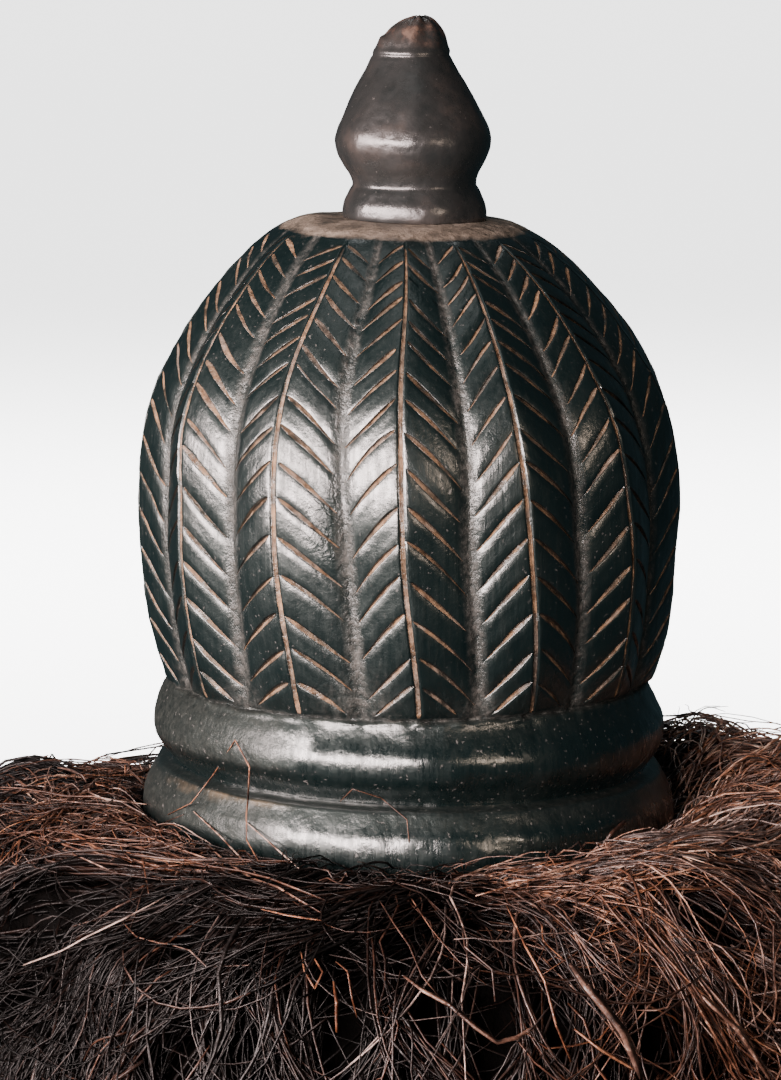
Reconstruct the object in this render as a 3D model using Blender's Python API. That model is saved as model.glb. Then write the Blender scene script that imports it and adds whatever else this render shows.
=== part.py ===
"""Carved ceremonial crown: a black wooden dome with ring mouldings, a turned
finial and a ruff of plant fibre that hangs from under the rim.

Metres, +Z up, the front faces -Y. The origin is the middle of the hollow's
ceiling, which is where the crown sits on the head. The tables give heights
above the rim, and CEILING is the height of the origin above the rim.
"""

import math

import bmesh
import bpy

CEILING = 0.2560          # hollow's flat ceiling above the rim
GAP = 0.0003              # clearance between touching pieces

# ---- lobes of the dome ---------------------------------------------------
LOBES = 14                # leaf-shaped lobes round the dome
FRONT_LOBES = 5           # the front ones are a little wider than the rest
FRONT_PITCH = 26.6        # degrees
FRONT_START = -67.4       # azimuth of the first valley, 0 = front, + = wearer's left
SPINE_ROUND = 0.06        # rounded crest of each lobe, as a part of the half lobe
VALLEY_U = 0.90           # where the valley's channel starts

# ---- tenon that joins finial and crown -------------------------------------
TENON_R = 0.0110
TENON_LEN = 0.0184
SOCKET_LEN = 0.0190
SEAT_H = 0.2815           # crown's top under the finial
SEAT_R = 0.0335

# Outside of the carved block, from the rim up.
# h: height, r: radius over the lobes' crests, relief: depth of the valleys as a
# part of r, cx: sideways drift of the hand carving, tilt: fall toward +X
BLOCK = (
    # h       r       relief   cx       tilt
    (0.0000, 0.1120, 0.000, 0.0000, 0.000),
    (0.0030, 0.1155, 0.000, 0.0002, 0.006),
    (0.0100, 0.1182, 0.000, 0.0004, 0.016),
    (0.0190, 0.1190, 0.000, 0.0005, 0.022),
    (0.0270, 0.1178, 0.000, 0.0005, 0.024),
    (0.0340, 0.1140, 0.000, 0.0005, 0.024),
    (0.0378, 0.1104, 0.000, 0.0005, 0.024),
    (0.0402, 0.1084, 0.000, 0.0005, 0.024),
    (0.0435, 0.1092, 0.000, 0.0005, 0.022),
    (0.0480, 0.1118, 0.000, 0.0004, 0.020),
    (0.0545, 0.1136, 0.000, 0.0004, 0.018),
    (0.0610, 0.1138, 0.000, 0.0003, 0.014),
    (0.0670, 0.1126, 0.000, 0.0002, 0.010),
    (0.0715, 0.1104, 0.000, 0.0000, 0.006),
    (0.0755, 0.1078, 0.010, 0.0000, 0.004),
    (0.0785, 0.1092, 0.034, 0.0002, 0.002),
    (0.0850, 0.1118, 0.046, 0.0005, 0.000),
    (0.0994, 0.1157, 0.054, 0.0006, 0.000),
    (0.1212, 0.1195, 0.060, 0.0004, 0.000),
    (0.1500, 0.1214, 0.062, 0.0000, 0.000),
    (0.1720, 0.1207, 0.062, 0.0002, 0.000),
    (0.1900, 0.1186, 0.062, 0.0003, 0.000),
    (0.2075, 0.1136, 0.061, 0.0002, 0.000),
    (0.2240, 0.1052, 0.060, -0.0003, 0.001),
    (0.2400, 0.0944, 0.058, -0.0008, 0.003),
    (0.2530, 0.0838, 0.055, -0.0012, 0.006),
    (0.2640, 0.0730, 0.052, -0.0018, 0.010),
    (0.2720, 0.0632, 0.047, -0.0022, 0.014),
    (0.2762, 0.0564, 0.034, -0.0024, 0.018),
    (0.2786, 0.0504, 0.006, -0.0010, 0.020),
    (0.2802, 0.0445, 0.000, 0.0006, 0.020),
    (0.2812, 0.0375, 0.000, 0.0018, 0.020),
    (SEAT_H, SEAT_R, 0.000, 0.0023, 0.020),
)

# Inside of the block, from the rim up to the ceiling's edge.
HOLLOW = (
    # h       r
    (0.0000, 0.1010),
    (0.0030, 0.0988),
    (0.0760, 0.0985),
    (0.1400, 0.1010),
    (0.1780, 0.0975),
    (0.2060, 0.0870),
    (0.2300, 0.0700),
    (0.2460, 0.0530),
    (CEILING, 0.0400),
)

# Finial, from its foot up; heights above the rim, cx from the finial's own axis.
FINIAL_X = 0.0023
FINIAL = (
    # h       r       cx       tilt
    (SEAT_H + GAP, 0.0318, 0.0003, 0.020),
    (0.2850, 0.0318, 0.0003, 0.018),
    (0.2880, 0.0314, 0.0002, 0.014),
    (0.2910, 0.0302, 0.0001, 0.010),
    (0.2942, 0.0284, 0.0000, 0.006),
    (0.2975, 0.0275, -0.0001, 0.004),
    (0.3010, 0.0285, -0.0002, 0.002),
    (0.3048, 0.0307, -0.0003, 0.000),
    (0.3085, 0.0326, -0.0003, 0.000),
    (0.3124, 0.0339, -0.0003, 0.000),
    (0.3160, 0.0343, -0.0003, 0.000),
    (0.3200, 0.0336, -0.0003, 0.000),
    (0.3262, 0.0310, -0.0004, 0.000),
    (0.3332, 0.0278, -0.0006, 0.000),
    (0.3402, 0.0241, -0.0009, 0.000),
    (0.3470, 0.0200, -0.0011, 0.000),
    (0.3524, 0.0173, -0.0012, 0.000),
    (0.3558, 0.0160, -0.0011, 0.000),
    (0.3600, 0.0146, -0.0010, 0.000),
    (0.3638, 0.0126, -0.0005, 0.000),
    (0.3668, 0.0098, 0.0005, 0.000),
    (0.3688, 0.0066, 0.0015, 0.000),
    (0.3698, 0.0030, 0.0022, 0.000),
)

# Fibre ruff: section from the collar's top inner edge outward, down to the hem
# and back up inside. lift, collar and sway say how much of the three changes
# round the ruff a row takes: height of the mass, height of the collar's edge
# against the block, and width.
COLLAR_R = 0.1200
RUFF = (
    # h       r       lift  collar sway
    (0.0110, COLLAR_R, 0.0, 1.0, 0.0),
    (0.0150, 0.1260, 0.1, 0.9, 0.0),
    (0.0178, 0.1370, 0.5, 0.6, 0.2),
    (0.0195, 0.1540, 1.0, 0.2, 0.4),
    (0.0195, 0.1730, 1.1, 0.0, 0.5),
    (0.0160, 0.1920, 1.0, 0.0, 0.7),
    (0.0060, 0.2090, 0.8, 0.0, 0.9),
    (-0.0120, 0.2240, 0.6, 0.0, 1.0),
    (-0.0400, 0.2350, 0.35, 0.0, 1.0),
    (-0.0750, 0.2410, 0.1, 0.0, 1.0),
    (-0.1100, 0.2430, 0.0, 0.0, 1.0),
    (-0.1400, 0.2415, 0.0, 0.0, 1.0),
    (-0.1540, 0.2340, 0.0, 0.0, 1.0),
    (-0.1580, 0.2180, 0.0, 0.0, 0.8),
    (-0.1580, 0.1900, 0.0, 0.0, 0.4),
    (-0.1530, 0.1680, 0.0, 0.0, 0.2),
    (-0.1400, 0.1580, 0.0, 0.0, 0.0),
    (-0.1000, 0.1470, 0.0, 0.0, 0.0),
    (-0.0600, 0.1300, 0.0, 0.0, 0.0),
    (-0.0250, 0.1110, 0.0, 0.0, 0.0),
    (-0.0060, 0.1030, 0.0, 0.0, 0.0),
    (-GAP, 0.1015, 0.0, 0.0, 0.0),
    (-GAP, COLLAR_R, 0.0, 0.0, 0.0),
)
RUFF_SEGMENTS = 80
RUFF_LIFT = 0.0160         # the mass stands highest toward +X and behind
RUFF_LIFT_AZ = 125.0       # azimuth of that place in degrees
RUFF_FRONT_DROP = 0.0040   # it is lower in front
RUFF_DIP = 0.0175          # and lowest behind on the -X side
RUFF_DIP_AZ = -170.0       # azimuth of that place in degrees
RUFF_DIP_FROM = 0.30       # cosine of the angle from there at which the dip ends
COLLAR_TILT = 0.0055       # the collar's edge falls toward +X
RUFF_WAVE = 0.0040         # uneven width of the hanging fibre

TURNED_SEGMENTS = 48


# --------------------------------------------------------------------------
def clear_scene():
    for obj in list(bpy.data.objects):
        bpy.data.objects.remove(obj, do_unlink=True)


def principled(name, colour, roughness, metallic=0.0):
    material = bpy.data.materials.new(name)
    material.use_nodes = True
    shader = material.node_tree.nodes["Principled BSDF"]
    shader.inputs["Base Color"].default_value = (*colour, 1.0)
    shader.inputs["Roughness"].default_value = roughness
    shader.inputs["Metallic"].default_value = metallic
    return material


def finish(name, bm, material, parent, sharp=40.0):
    """Makes the object from a closed bmesh, with its faces looking out."""
    bmesh.ops.recalc_face_normals(bm, faces=bm.faces)
    mesh = bpy.data.meshes.new(name)
    bm.to_mesh(mesh)
    bm.free()
    mesh.materials.append(material)
    mesh.shade_smooth()
    mesh.set_sharp_from_angle(angle=math.radians(sharp))
    obj = bpy.data.objects.new(name, mesh)
    bpy.context.scene.collection.objects.link(obj)
    obj.parent = parent
    return obj


def smooth(t):
    t = min(1.0, max(0.0, t))
    return t * t * (3.0 - 2.0 * t)


def valley_azimuths():
    """Azimuths of the valleys in degrees, the last one closing the circle."""
    back_pitch = (360.0 - FRONT_LOBES * FRONT_PITCH) / (LOBES - FRONT_LOBES)
    angles = [FRONT_START]
    for k in range(LOBES):
        angles.append(angles[-1] + (FRONT_PITCH if k < FRONT_LOBES else back_pitch))
    return angles


def lobe_depth(u):
    """Depth of the lobe's surface below its crest, 0 at the crest (u = 0) and
    1 in the valley (u = 1): two gently curved flanks like a pitched roof, and
    a narrow channel between two lobes."""
    flank = 0.66 * u + 0.22 * u * u
    channel = 0.12 * smooth((u - 0.80) / 0.20)
    return flank + channel


def block_columns():
    """(azimuth in radians, depth factor) of each of the dome's columns."""
    valleys = valley_azimuths()
    columns = []
    for k in range(LOBES):
        left, right = valleys[k], valleys[k + 1]
        crest = 0.5 * (left + right)
        half = 0.5 * (right - left)
        for step in (-1.0, -VALLEY_U, -0.5, -SPINE_ROUND * 2, 0.0, SPINE_ROUND * 2, 0.5, VALLEY_U):
            columns.append((math.radians(crest + step * half), lobe_depth(abs(step))))
    return columns


def ring(bm, azimuths, radii, h, cx=0.0, tilt=0.0):
    """A closed row of vertices. Azimuth 0 is the front (-Y), + goes to +X."""
    out = []
    for azimuth, r in zip(azimuths, radii):
        x = cx + r * math.sin(azimuth)
        y = -r * math.cos(azimuth)
        out.append(bm.verts.new((x, y, h - CEILING - tilt * x)))
    return out


def bridge(bm, lower, upper):
    """Faces between two closed rows that have the same number of vertices, or
    where one has twice as many as the other."""
    n, m = len(lower), len(upper)
    if n == m:
        for i in range(n):
            j = (i + 1) % n
            bm.faces.new((lower[i], lower[j], upper[j], upper[i]))
    elif n == 2 * m:
        for i in range(m):
            a, b, c = lower[2 * i], lower[2 * i + 1], lower[(2 * i + 2) % n]
            d, e = upper[i], upper[(i + 1) % m]
            bm.faces.new((a, b, d))
            bm.faces.new((b, e, d))
            bm.faces.new((b, c, e))
    elif m == 2 * n:
        bridge(bm, upper, lower)


def even(segments):
    return [2.0 * math.pi * i / segments for i in range(segments)]


# --------------------------------------------------------------------------
def make_crown(parent):
    """One carved block: rings, lobed dome, top with the finial's socket, and
    the hollow for the head."""
    bm = bmesh.new()
    columns = block_columns()
    azimuths = [c[0] for c in columns]
    rows = []
    for h, r, relief, cx, tilt in BLOCK:
        radii = [r * (1.0 - relief * c[1]) for c in columns]
        rows.append(ring(bm, azimuths, radii, h, cx, tilt))
    for a, b in zip(rows, rows[1:]):
        bridge(bm, a, b)

    # socket for the finial's tenon, with a flat floor
    half = azimuths[::2]
    socket_r = TENON_R + GAP
    mouth = ring(bm, half, [socket_r] * len(half), SEAT_H, FINIAL_X, 0.020)
    floor = ring(bm, half, [socket_r] * len(half), SEAT_H - SOCKET_LEN, FINIAL_X)
    bridge(bm, rows[-1], mouth)
    bridge(bm, mouth, floor)
    bm.faces.new(floor)

    # hollow, from the rim up to the flat ceiling
    inside = [ring(bm, half, [r] * len(half), h) for h, r in HOLLOW]
    bridge(bm, rows[0], inside[0])
    for a, b in zip(inside, inside[1:]):
        bridge(bm, a, b)
    bm.faces.new(inside[-1])

    wood = principled("black_carved_wood", (0.030, 0.032, 0.032), 0.38)
    return finish("crown", bm, wood, parent, sharp=32.0)


def make_finial(parent):
    """Knob with foot, waist, bulb and worn tip, and its tenon below."""
    bm = bmesh.new()
    azimuths = even(TURNED_SEGMENTS)
    tenon_end = ring(bm, azimuths[::2], [TENON_R] * (TURNED_SEGMENTS // 2), SEAT_H - TENON_LEN, FINIAL_X)
    tenon_top = ring(bm, azimuths[::2], [TENON_R] * (TURNED_SEGMENTS // 2), SEAT_H + GAP, FINIAL_X, 0.020)
    rows = [
        ring(bm, azimuths, [r] * TURNED_SEGMENTS, h, FINIAL_X + cx, tilt)
        for h, r, cx, tilt in FINIAL
    ]
    bm.faces.new(tenon_end)
    bridge(bm, tenon_end, tenon_top)
    bridge(bm, rows[0], tenon_top)
    for a, b in zip(rows, rows[1:]):
        bridge(bm, a, b)
    bm.faces.new(rows[-1])
    wood = principled("black_turned_wood", (0.045, 0.043, 0.043), 0.42)
    return finish("finial", bm, wood, parent, sharp=50.0)


def make_ruff(parent):
    """Outer form of the fibre: a collar under and round the rim that spreads
    outwards and hangs down, open in the middle for the head."""
    bm = bmesh.new()
    azimuths = even(RUFF_SEGMENTS)
    rows = []
    for h, r, lift, collar, sway in RUFF:
        out = []
        for a in azimuths:
            up = RUFF_LIFT * smooth(0.5 + 0.5 * math.cos(a - math.radians(RUFF_LIFT_AZ)))
            up -= RUFF_FRONT_DROP * smooth(math.cos(a))
            up -= RUFF_DIP * smooth((math.cos(a - math.radians(RUFF_DIP_AZ)) - RUFF_DIP_FROM) / (1.0 - RUFF_DIP_FROM))
            edge = -COLLAR_TILT * math.sin(a)
            wave = RUFF_WAVE * (math.sin(3.0 * a + 0.7) * 0.5 + math.sin(5.0 * a + 2.1) * 0.5)
            rr = r + sway * wave
            z = h + lift * up + collar * edge - CEILING
            out.append(bm.verts.new((rr * math.sin(a), -rr * math.cos(a), z)))
        rows.append(out)
    for a, b in zip(rows, rows[1:]):
        bridge(bm, a, b)
    bridge(bm, rows[-1], rows[0])
    fibre = principled("plant_fibre", (0.050, 0.028, 0.018), 0.75)
    return finish("fibre_ruff", bm, fibre, parent, sharp=60.0)


def main():
    clear_scene()
    holder = bpy.data.objects.new("ceremonial_crown", None)
    bpy.context.scene.collection.objects.link(holder)
    make_crown(holder)
    make_finial(holder)
    make_ruff(holder)
    bpy.context.view_layer.update()


main()
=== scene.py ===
"""Looks of the carved ceremonial crown: lobed dome with leaf-vein cuts, ring
mouldings, finial and a ruff of plant fibre. Metres, in the frame's own axes."""

import math
import bmesh
import bpy
import numpy as np
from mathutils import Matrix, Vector


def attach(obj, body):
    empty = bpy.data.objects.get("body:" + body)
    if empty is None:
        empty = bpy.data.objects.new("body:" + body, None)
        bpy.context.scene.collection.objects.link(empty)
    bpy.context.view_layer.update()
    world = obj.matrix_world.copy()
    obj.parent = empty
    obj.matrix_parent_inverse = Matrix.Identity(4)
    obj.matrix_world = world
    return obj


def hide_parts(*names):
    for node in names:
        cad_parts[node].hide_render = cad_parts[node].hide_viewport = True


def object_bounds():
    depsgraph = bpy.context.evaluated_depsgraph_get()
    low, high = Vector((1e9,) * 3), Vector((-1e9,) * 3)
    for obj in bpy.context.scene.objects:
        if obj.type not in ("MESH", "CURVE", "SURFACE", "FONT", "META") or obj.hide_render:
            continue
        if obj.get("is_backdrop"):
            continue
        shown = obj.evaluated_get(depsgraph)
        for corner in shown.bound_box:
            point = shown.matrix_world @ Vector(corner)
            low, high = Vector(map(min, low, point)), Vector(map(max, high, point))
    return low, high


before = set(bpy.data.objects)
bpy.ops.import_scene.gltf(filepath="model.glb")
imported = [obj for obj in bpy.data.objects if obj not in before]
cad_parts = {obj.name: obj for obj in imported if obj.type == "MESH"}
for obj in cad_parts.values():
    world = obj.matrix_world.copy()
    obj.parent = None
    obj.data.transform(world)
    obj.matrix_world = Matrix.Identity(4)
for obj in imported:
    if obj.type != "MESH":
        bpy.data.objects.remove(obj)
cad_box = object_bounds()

rng = np.random.default_rng(4669)
CEILING = 0.2560                 # origin's height above the rim


# ======================================================================
# camera: 781 x 1080 frame, long side on the sensor's 36 mm
# ======================================================================
CAM_BACK = 2.100
CAM_H = 0.482                    # above the rim
CAM_PITCH = 9.317
CAM_X = -0.0079
CAM_F_PX = 4776.0

cam_data = bpy.data.cameras.new("camera")
cam_data.sensor_width = 36.0
cam_data.sensor_fit = "AUTO"
cam_data.lens = CAM_F_PX / 1080.0 * 36.0
cam_data.clip_start = 0.05
cam_data.clip_end = 50.0
cam = bpy.data.objects.new("camera", cam_data)
bpy.context.scene.collection.objects.link(cam)
cam.location = (CAM_X, -CAM_BACK, CAM_H - CEILING)
cam.rotation_euler = (math.radians(90.0 - CAM_PITCH), 0.0, 0.0)
bpy.context.scene.camera = cam


def photo_place(points):
    """Where points fall in the 781 x 1080 frame, and their distance."""
    rel = points - np.array([CAM_X, -CAM_BACK, CAM_H - CEILING])
    c, s = math.cos(math.radians(CAM_PITCH)), math.sin(math.radians(CAM_PITCH))
    depth = rel[..., 1] * c - rel[..., 2] * s
    up = rel[..., 1] * s + rel[..., 2] * c
    return 390.5 + CAM_F_PX * rel[..., 0] / depth, 540.0 - CAM_F_PX * up / depth, depth


# ======================================================================
# helpers
# ======================================================================
def smooth(t):
    t = np.clip(t, 0.0, 1.0)
    return t * t * (3.0 - 2.0 * t)


def hermite(table, x):
    """Smooth curve through a table of (x, y) with a limited slope."""
    xs = np.array([p[0] for p in table], float)
    ys = np.array([p[1] for p in table], float)
    d = np.diff(ys) / np.diff(xs)
    m = np.concatenate([[d[0]], np.where(d[:-1] * d[1:] > 0, 2 * d[:-1] * d[1:] / (d[:-1] + d[1:] + 1e-12), 0.0), [d[-1]]])
    x = np.clip(x, xs[0], xs[-1])
    i = np.clip(np.searchsorted(xs, x, side="right") - 1, 0, len(xs) - 2)
    w = xs[i + 1] - xs[i]
    t = (x - xs[i]) / w
    return (
        (2 * t**3 - 3 * t**2 + 1) * ys[i]
        + (t**3 - 2 * t**2 + t) * w * m[i]
        + (-2 * t**3 + 3 * t**2) * ys[i + 1]
        + (t**3 - t**2) * w * m[i + 1]
    )


class Waves:
    """Smooth seeded noise, as a sum of sine waves in any number of dimensions."""

    def __init__(self, dims, scale, count=14):
        self.k = rng.normal(size=(count, dims)) * (2.0 * math.pi / scale) * 0.6
        self.p = rng.uniform(0, 2 * math.pi, count)
        self.a = 1.0 / math.sqrt(count / 2.0)

    def __call__(self, *xs):
        total = 0.0
        for k, p in zip(self.k, self.p):
            total = total + np.sin(sum(kk * x for kk, x in zip(k, xs)) + p)
        return total * self.a


def build_object(name, verts, faces, node, material, attributes=None, smooth_faces=True):
    mesh = bpy.data.meshes.new(name)
    sizes = np.array([len(f) for f in faces], dtype=np.int32) if isinstance(faces, list) else np.full(len(faces), faces.shape[1], np.int32)
    flat = np.concatenate([np.asarray(f, dtype=np.int32) for f in faces]) if isinstance(faces, list) else faces.astype(np.int32).ravel()
    mesh.vertices.add(len(verts))
    mesh.vertices.foreach_set("co", np.asarray(verts, dtype=np.float32).ravel())
    mesh.loops.add(len(flat))
    mesh.loops.foreach_set("vertex_index", flat)
    mesh.polygons.add(len(sizes))
    starts = np.concatenate([[0], np.cumsum(sizes)[:-1]]).astype(np.int32)
    mesh.polygons.foreach_set("loop_start", starts)
    mesh.update(calc_edges=True)
    mesh.validate()
    for key, values in (attributes or {}).items():
        layer = mesh.attributes.new(key, "FLOAT", "POINT")
        layer.data.foreach_set("value", np.asarray(values, dtype=np.float32))
    mesh.materials.append(material)
    if smooth_faces:
        mesh.shade_smooth()
    obj = bpy.data.objects.new(name, mesh)
    bpy.context.scene.collection.objects.link(obj)
    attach(obj, "root")
    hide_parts(node)
    return obj


class Nodes:
    """Short hand for a material's node tree."""

    def __init__(self, name):
        self.material = bpy.data.materials.new(name)
        self.material.use_nodes = True
        self.tree = self.material.node_tree
        self.shader = self.tree.nodes["Principled BSDF"]

    def link(self, a, b):
        self.tree.links.new(a, b)

    def put(self, socket, value):
        if isinstance(value, bpy.types.NodeSocket):
            self.link(value, socket)
        else:
            socket.default_value = value

    def add(self, kind, **props):
        node = self.tree.nodes.new(kind)
        for key, value in props.items():
            setattr(node, key, value)
        return node

    def coords(self, scale=(1, 1, 1), rotation=(0, 0, 0)):
        tc = self.add("ShaderNodeTexCoord")
        mp = self.add("ShaderNodeMapping")
        mp.inputs["Scale"].default_value = scale
        mp.inputs["Rotation"].default_value = rotation
        self.link(tc.outputs["Object"], mp.inputs["Vector"])
        return mp.outputs["Vector"]

    def noise(self, scale, detail=4.0, rough=0.55, vector=None, distortion=0.0):
        n = self.add("ShaderNodeTexNoise")
        n.inputs["Scale"].default_value = scale
        n.inputs["Detail"].default_value = detail
        n.inputs["Roughness"].default_value = rough
        n.inputs["Distortion"].default_value = distortion
        self.link(vector if vector is not None else self.coords(), n.inputs["Vector"])
        return n.outputs["Fac"]

    def ramp(self, fac, stops, mode="LINEAR"):
        r = self.add("ShaderNodeValToRGB")
        r.color_ramp.interpolation = mode
        el = r.color_ramp.elements
        while len(el) < len(stops):
            el.new(0.5)
        for e, (pos, col) in zip(el, stops):
            e.position = pos
            e.color = (*col, 1.0) if len(col) == 3 else col
        self.link(fac, r.inputs["Fac"])
        return r.outputs["Color"]

    def remap(self, value, a, b, c=0.0, d=1.0):
        r = self.add("ShaderNodeMapRange")
        r.clamp = True
        self.put(r.inputs["Value"], value)
        for key, v in (("From Min", a), ("From Max", b), ("To Min", c), ("To Max", d)):
            r.inputs[key].default_value = v
        return r.outputs["Result"]

    def math(self, op, a, b=0.0, c=0.0, clamp=False):
        m = self.add("ShaderNodeMath", operation=op)
        m.use_clamp = clamp
        self.put(m.inputs[0], a)
        self.put(m.inputs[1], b)
        if len(m.inputs) > 2:
            self.put(m.inputs[2], c)
        return m.outputs[0]

    def mix(self, fac, a, b, blend="MIX"):
        m = self.add("ShaderNodeMix", data_type="RGBA", blend_type=blend)
        self.put(m.inputs["Factor"], fac)
        for key, v in (("A", a), ("B", b)):
            socket = [s for s in m.inputs if s.name == key and s.type == "RGBA"][0]
            self.put(socket, v if isinstance(v, bpy.types.NodeSocket) or len(v) == 4 else (*v, 1.0))
        return [s for s in m.outputs if s.type == "RGBA"][0]

    def attribute(self, name):
        a = self.add("ShaderNodeAttribute", attribute_name=name)
        return a.outputs["Fac"]

    def bump(self, height, distance, strength=1.0, normal=None):
        b = self.add("ShaderNodeBump")
        b.inputs["Strength"].default_value = strength
        b.inputs["Distance"].default_value = distance
        self.link(height, b.inputs["Height"])
        if normal is not None:
            self.link(normal, b.inputs["Normal"])
        return b.outputs["Normal"]


# ======================================================================
# carved block
# ======================================================================
BLOCK = (
    # h       r       relief   cx       tilt
    (0.0000, 0.1120, 0.000, 0.0000, 0.000),
    (0.0030, 0.1155, 0.000, 0.0002, 0.006),
    (0.0100, 0.1182, 0.000, 0.0004, 0.016),
    (0.0190, 0.1190, 0.000, 0.0005, 0.022),
    (0.0255, 0.1181, 0.000, 0.0005, 0.024),
    (0.0278, 0.1175, 0.000, 0.0005, 0.024),
    (0.0300, 0.1164, 0.000, 0.0005, 0.024),
    (0.0330, 0.1149, 0.000, 0.0005, 0.024),
    (0.0360, 0.1134, 0.000, 0.0005, 0.024),
    (0.0376, 0.1128, 0.000, 0.0005, 0.024),
    (0.0384, 0.1116, 0.000, 0.0005, 0.024),
    (0.0395, 0.1083, 0.000, 0.0005, 0.024),
    (0.0404, 0.1068, 0.000, 0.0005, 0.024),
    (0.0420, 0.1077, 0.000, 0.0005, 0.022),
    (0.0446, 0.1096, 0.000, 0.0005, 0.021),
    (0.0482, 0.1121, 0.000, 0.0004, 0.020),
    (0.0515, 0.1136, 0.000, 0.0004, 0.018),
    (0.0545, 0.1141, 0.000, 0.0003, 0.016),
    (0.0575, 0.1141, 0.000, 0.0003, 0.015),
    (0.0600, 0.1138, 0.000, 0.0003, 0.013),
    (0.0620, 0.1132, 0.000, 0.0002, 0.011),
    (0.0640, 0.1122, 0.000, 0.0002, 0.010),
    (0.0668, 0.1107, 0.000, 0.0002, 0.008),
    (0.0700, 0.1090, 0.000, 0.0001, 0.007),
    (0.0728, 0.1077, 0.000, 0.0000, 0.005),
    (0.0745, 0.1072, 0.000, 0.0000, 0.004),
    (0.0757, 0.1070, 0.000, 0.0000, 0.004),
    (0.0766, 0.1058, 0.010, 0.0000, 0.004),
    (0.0785, 0.1092, 0.034, 0.0002, 0.002),
    (0.0850, 0.1118, 0.046, 0.0005, 0.000),
    (0.0994, 0.1157, 0.054, 0.0006, 0.000),
    (0.1212, 0.1195, 0.060, 0.0004, 0.000),
    (0.1500, 0.1214, 0.062, 0.0000, 0.000),
    (0.1720, 0.1207, 0.062, 0.0002, 0.000),
    (0.1900, 0.1186, 0.062, 0.0003, 0.000),
    (0.2075, 0.1136, 0.061, 0.0002, 0.000),
    (0.2240, 0.1052, 0.060, -0.0003, 0.001),
    (0.2400, 0.0944, 0.058, -0.0008, 0.003),
    (0.2530, 0.0838, 0.055, -0.0012, 0.006),
    (0.2640, 0.0730, 0.052, -0.0018, 0.010),
    (0.2720, 0.0632, 0.047, -0.0022, 0.014),
    (0.2762, 0.0564, 0.034, -0.0024, 0.018),
    (0.2786, 0.0504, 0.006, -0.0010, 0.020),
    (0.2802, 0.0445, 0.000, 0.0006, 0.020),
    (0.2812, 0.0375, 0.000, 0.0018, 0.020),
    (0.2815, 0.0335, 0.000, 0.0023, 0.020),
)
HOLLOW = (
    (0.0000, 0.1010), (0.0030, 0.0988), (0.0760, 0.0985), (0.1400, 0.1010), (0.1780, 0.0975),
    (0.2060, 0.0870), (0.2300, 0.0700), (0.2460, 0.0530), (CEILING, 0.0400),
)
FOOT_ROW, TOP_ROW = 28, 41          # the dome's foot and the lobes' upper edge in BLOCK
SEAT_H, FINIAL_X, SOCKET_R, SOCKET_LEN = 0.2815, 0.0023, 0.0113, 0.0190

# The lines between the half lobes, front ones first: azimuth in degrees at four
# heights (0 = front, + toward +X). The rest are evenly spaced behind.
LINES = (
    # kind      foot    middle  shoulder  top
    ("valley", -66.5, -66.0, -67.0, -68.0),
    ("crest", -54.2, -54.4, -57.0, -59.0),
    ("valley", -41.0, -41.0, -42.0, -43.0),
    ("crest", -25.5, -28.2, -29.3, -25.0),
    ("valley", -11.2, -13.2, -15.4, -11.0),
    ("crest", 2.0, -1.3, -2.0, 0.8),
    ("valley", 16.0, 13.0, 12.2, 11.0),
    ("crest", 28.6, 25.4, 22.8, 22.4),
    ("valley", 41.5, 39.6, 37.0, 34.5),
    ("crest", 55.2, 52.4, 48.0, 45.5),
    ("valley", 68.0, 66.5, 63.0, 60.0),
)
LINE_H = (0.080, 0.150, 0.210, 0.270)
BACK_LINES = 17                      # lines behind, after the front eleven

# Vein cuts: spacing along the crest and drop from crest to valley, by the
# distance up the dome from its foot.
VEINS = (
    # up      pitch   drop
    (0.000, 0.0140, 0.0200),
    (0.040, 0.0160, 0.0225),
    (0.090, 0.0168, 0.0240),
    (0.130, 0.0150, 0.0240),
    (0.165, 0.0125, 0.0225),
    (0.195, 0.0105, 0.0180),
    (0.230, 0.0090, 0.0120),
)
STEEPER = {3: 1.06, 4: 1.14, 5: 1.26, 6: 1.12, 7: 1.10}   # more drop on the front's half lobes, by line
CUT_HALF = 0.00135                   # half width of a vein cut, along the crest
CUT_DEEP = 0.00155
RIB_HALF = 0.00145                   # half width of the midrib cut
RIB_DEEP = 0.00140
FIRST_CUT = 0.0026                   # highest cut's place below the lobes' upper edge


def block_tables():
    h = [r[0] for r in BLOCK]
    return {key: list(zip(h, [r[i] for r in BLOCK])) for i, key in enumerate(("h", "r", "relief", "cx", "tilt")) if i}


TABLES = block_tables()


def profile(h):
    return hermite(TABLES["r"], h)


def make_arc():
    """Arc length up the dome as a function of height and the other way round."""
    hs = np.linspace(BLOCK[FOOT_ROW][0], BLOCK[TOP_ROW][0], 2400)
    rs = profile(hs)
    s = np.concatenate([[0.0], np.cumsum(np.hypot(np.diff(hs), np.diff(rs)))])
    return hs, s


ARC_H, ARC_S = make_arc()
S_TOP = ARC_S[-1]


def height_at(s):
    return np.interp(s, ARC_S, ARC_H)


def line_azimuths(h):
    """Azimuth in radians of every crest and valley line at heights h; columns
    are the lines, in order round the dome from the first front valley."""
    out = []
    for _, *degrees in LINES:
        out.append(hermite(list(zip(LINE_H, degrees)), h))
    first, last = out[0] + 360.0, out[-1]
    for k in range(1, BACK_LINES + 1):
        t = k / (BACK_LINES + 1)
        lean = 1.1 * math.sin(2.3 * k + 0.4) * np.cos((h - 0.17) / 0.055 + 1.7 * k) * min(1.0, 4.0 * t, 4.0 * (1.0 - t))
        out.append(last + (first - last) * t + lean)
    return np.radians(np.array(out))


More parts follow.
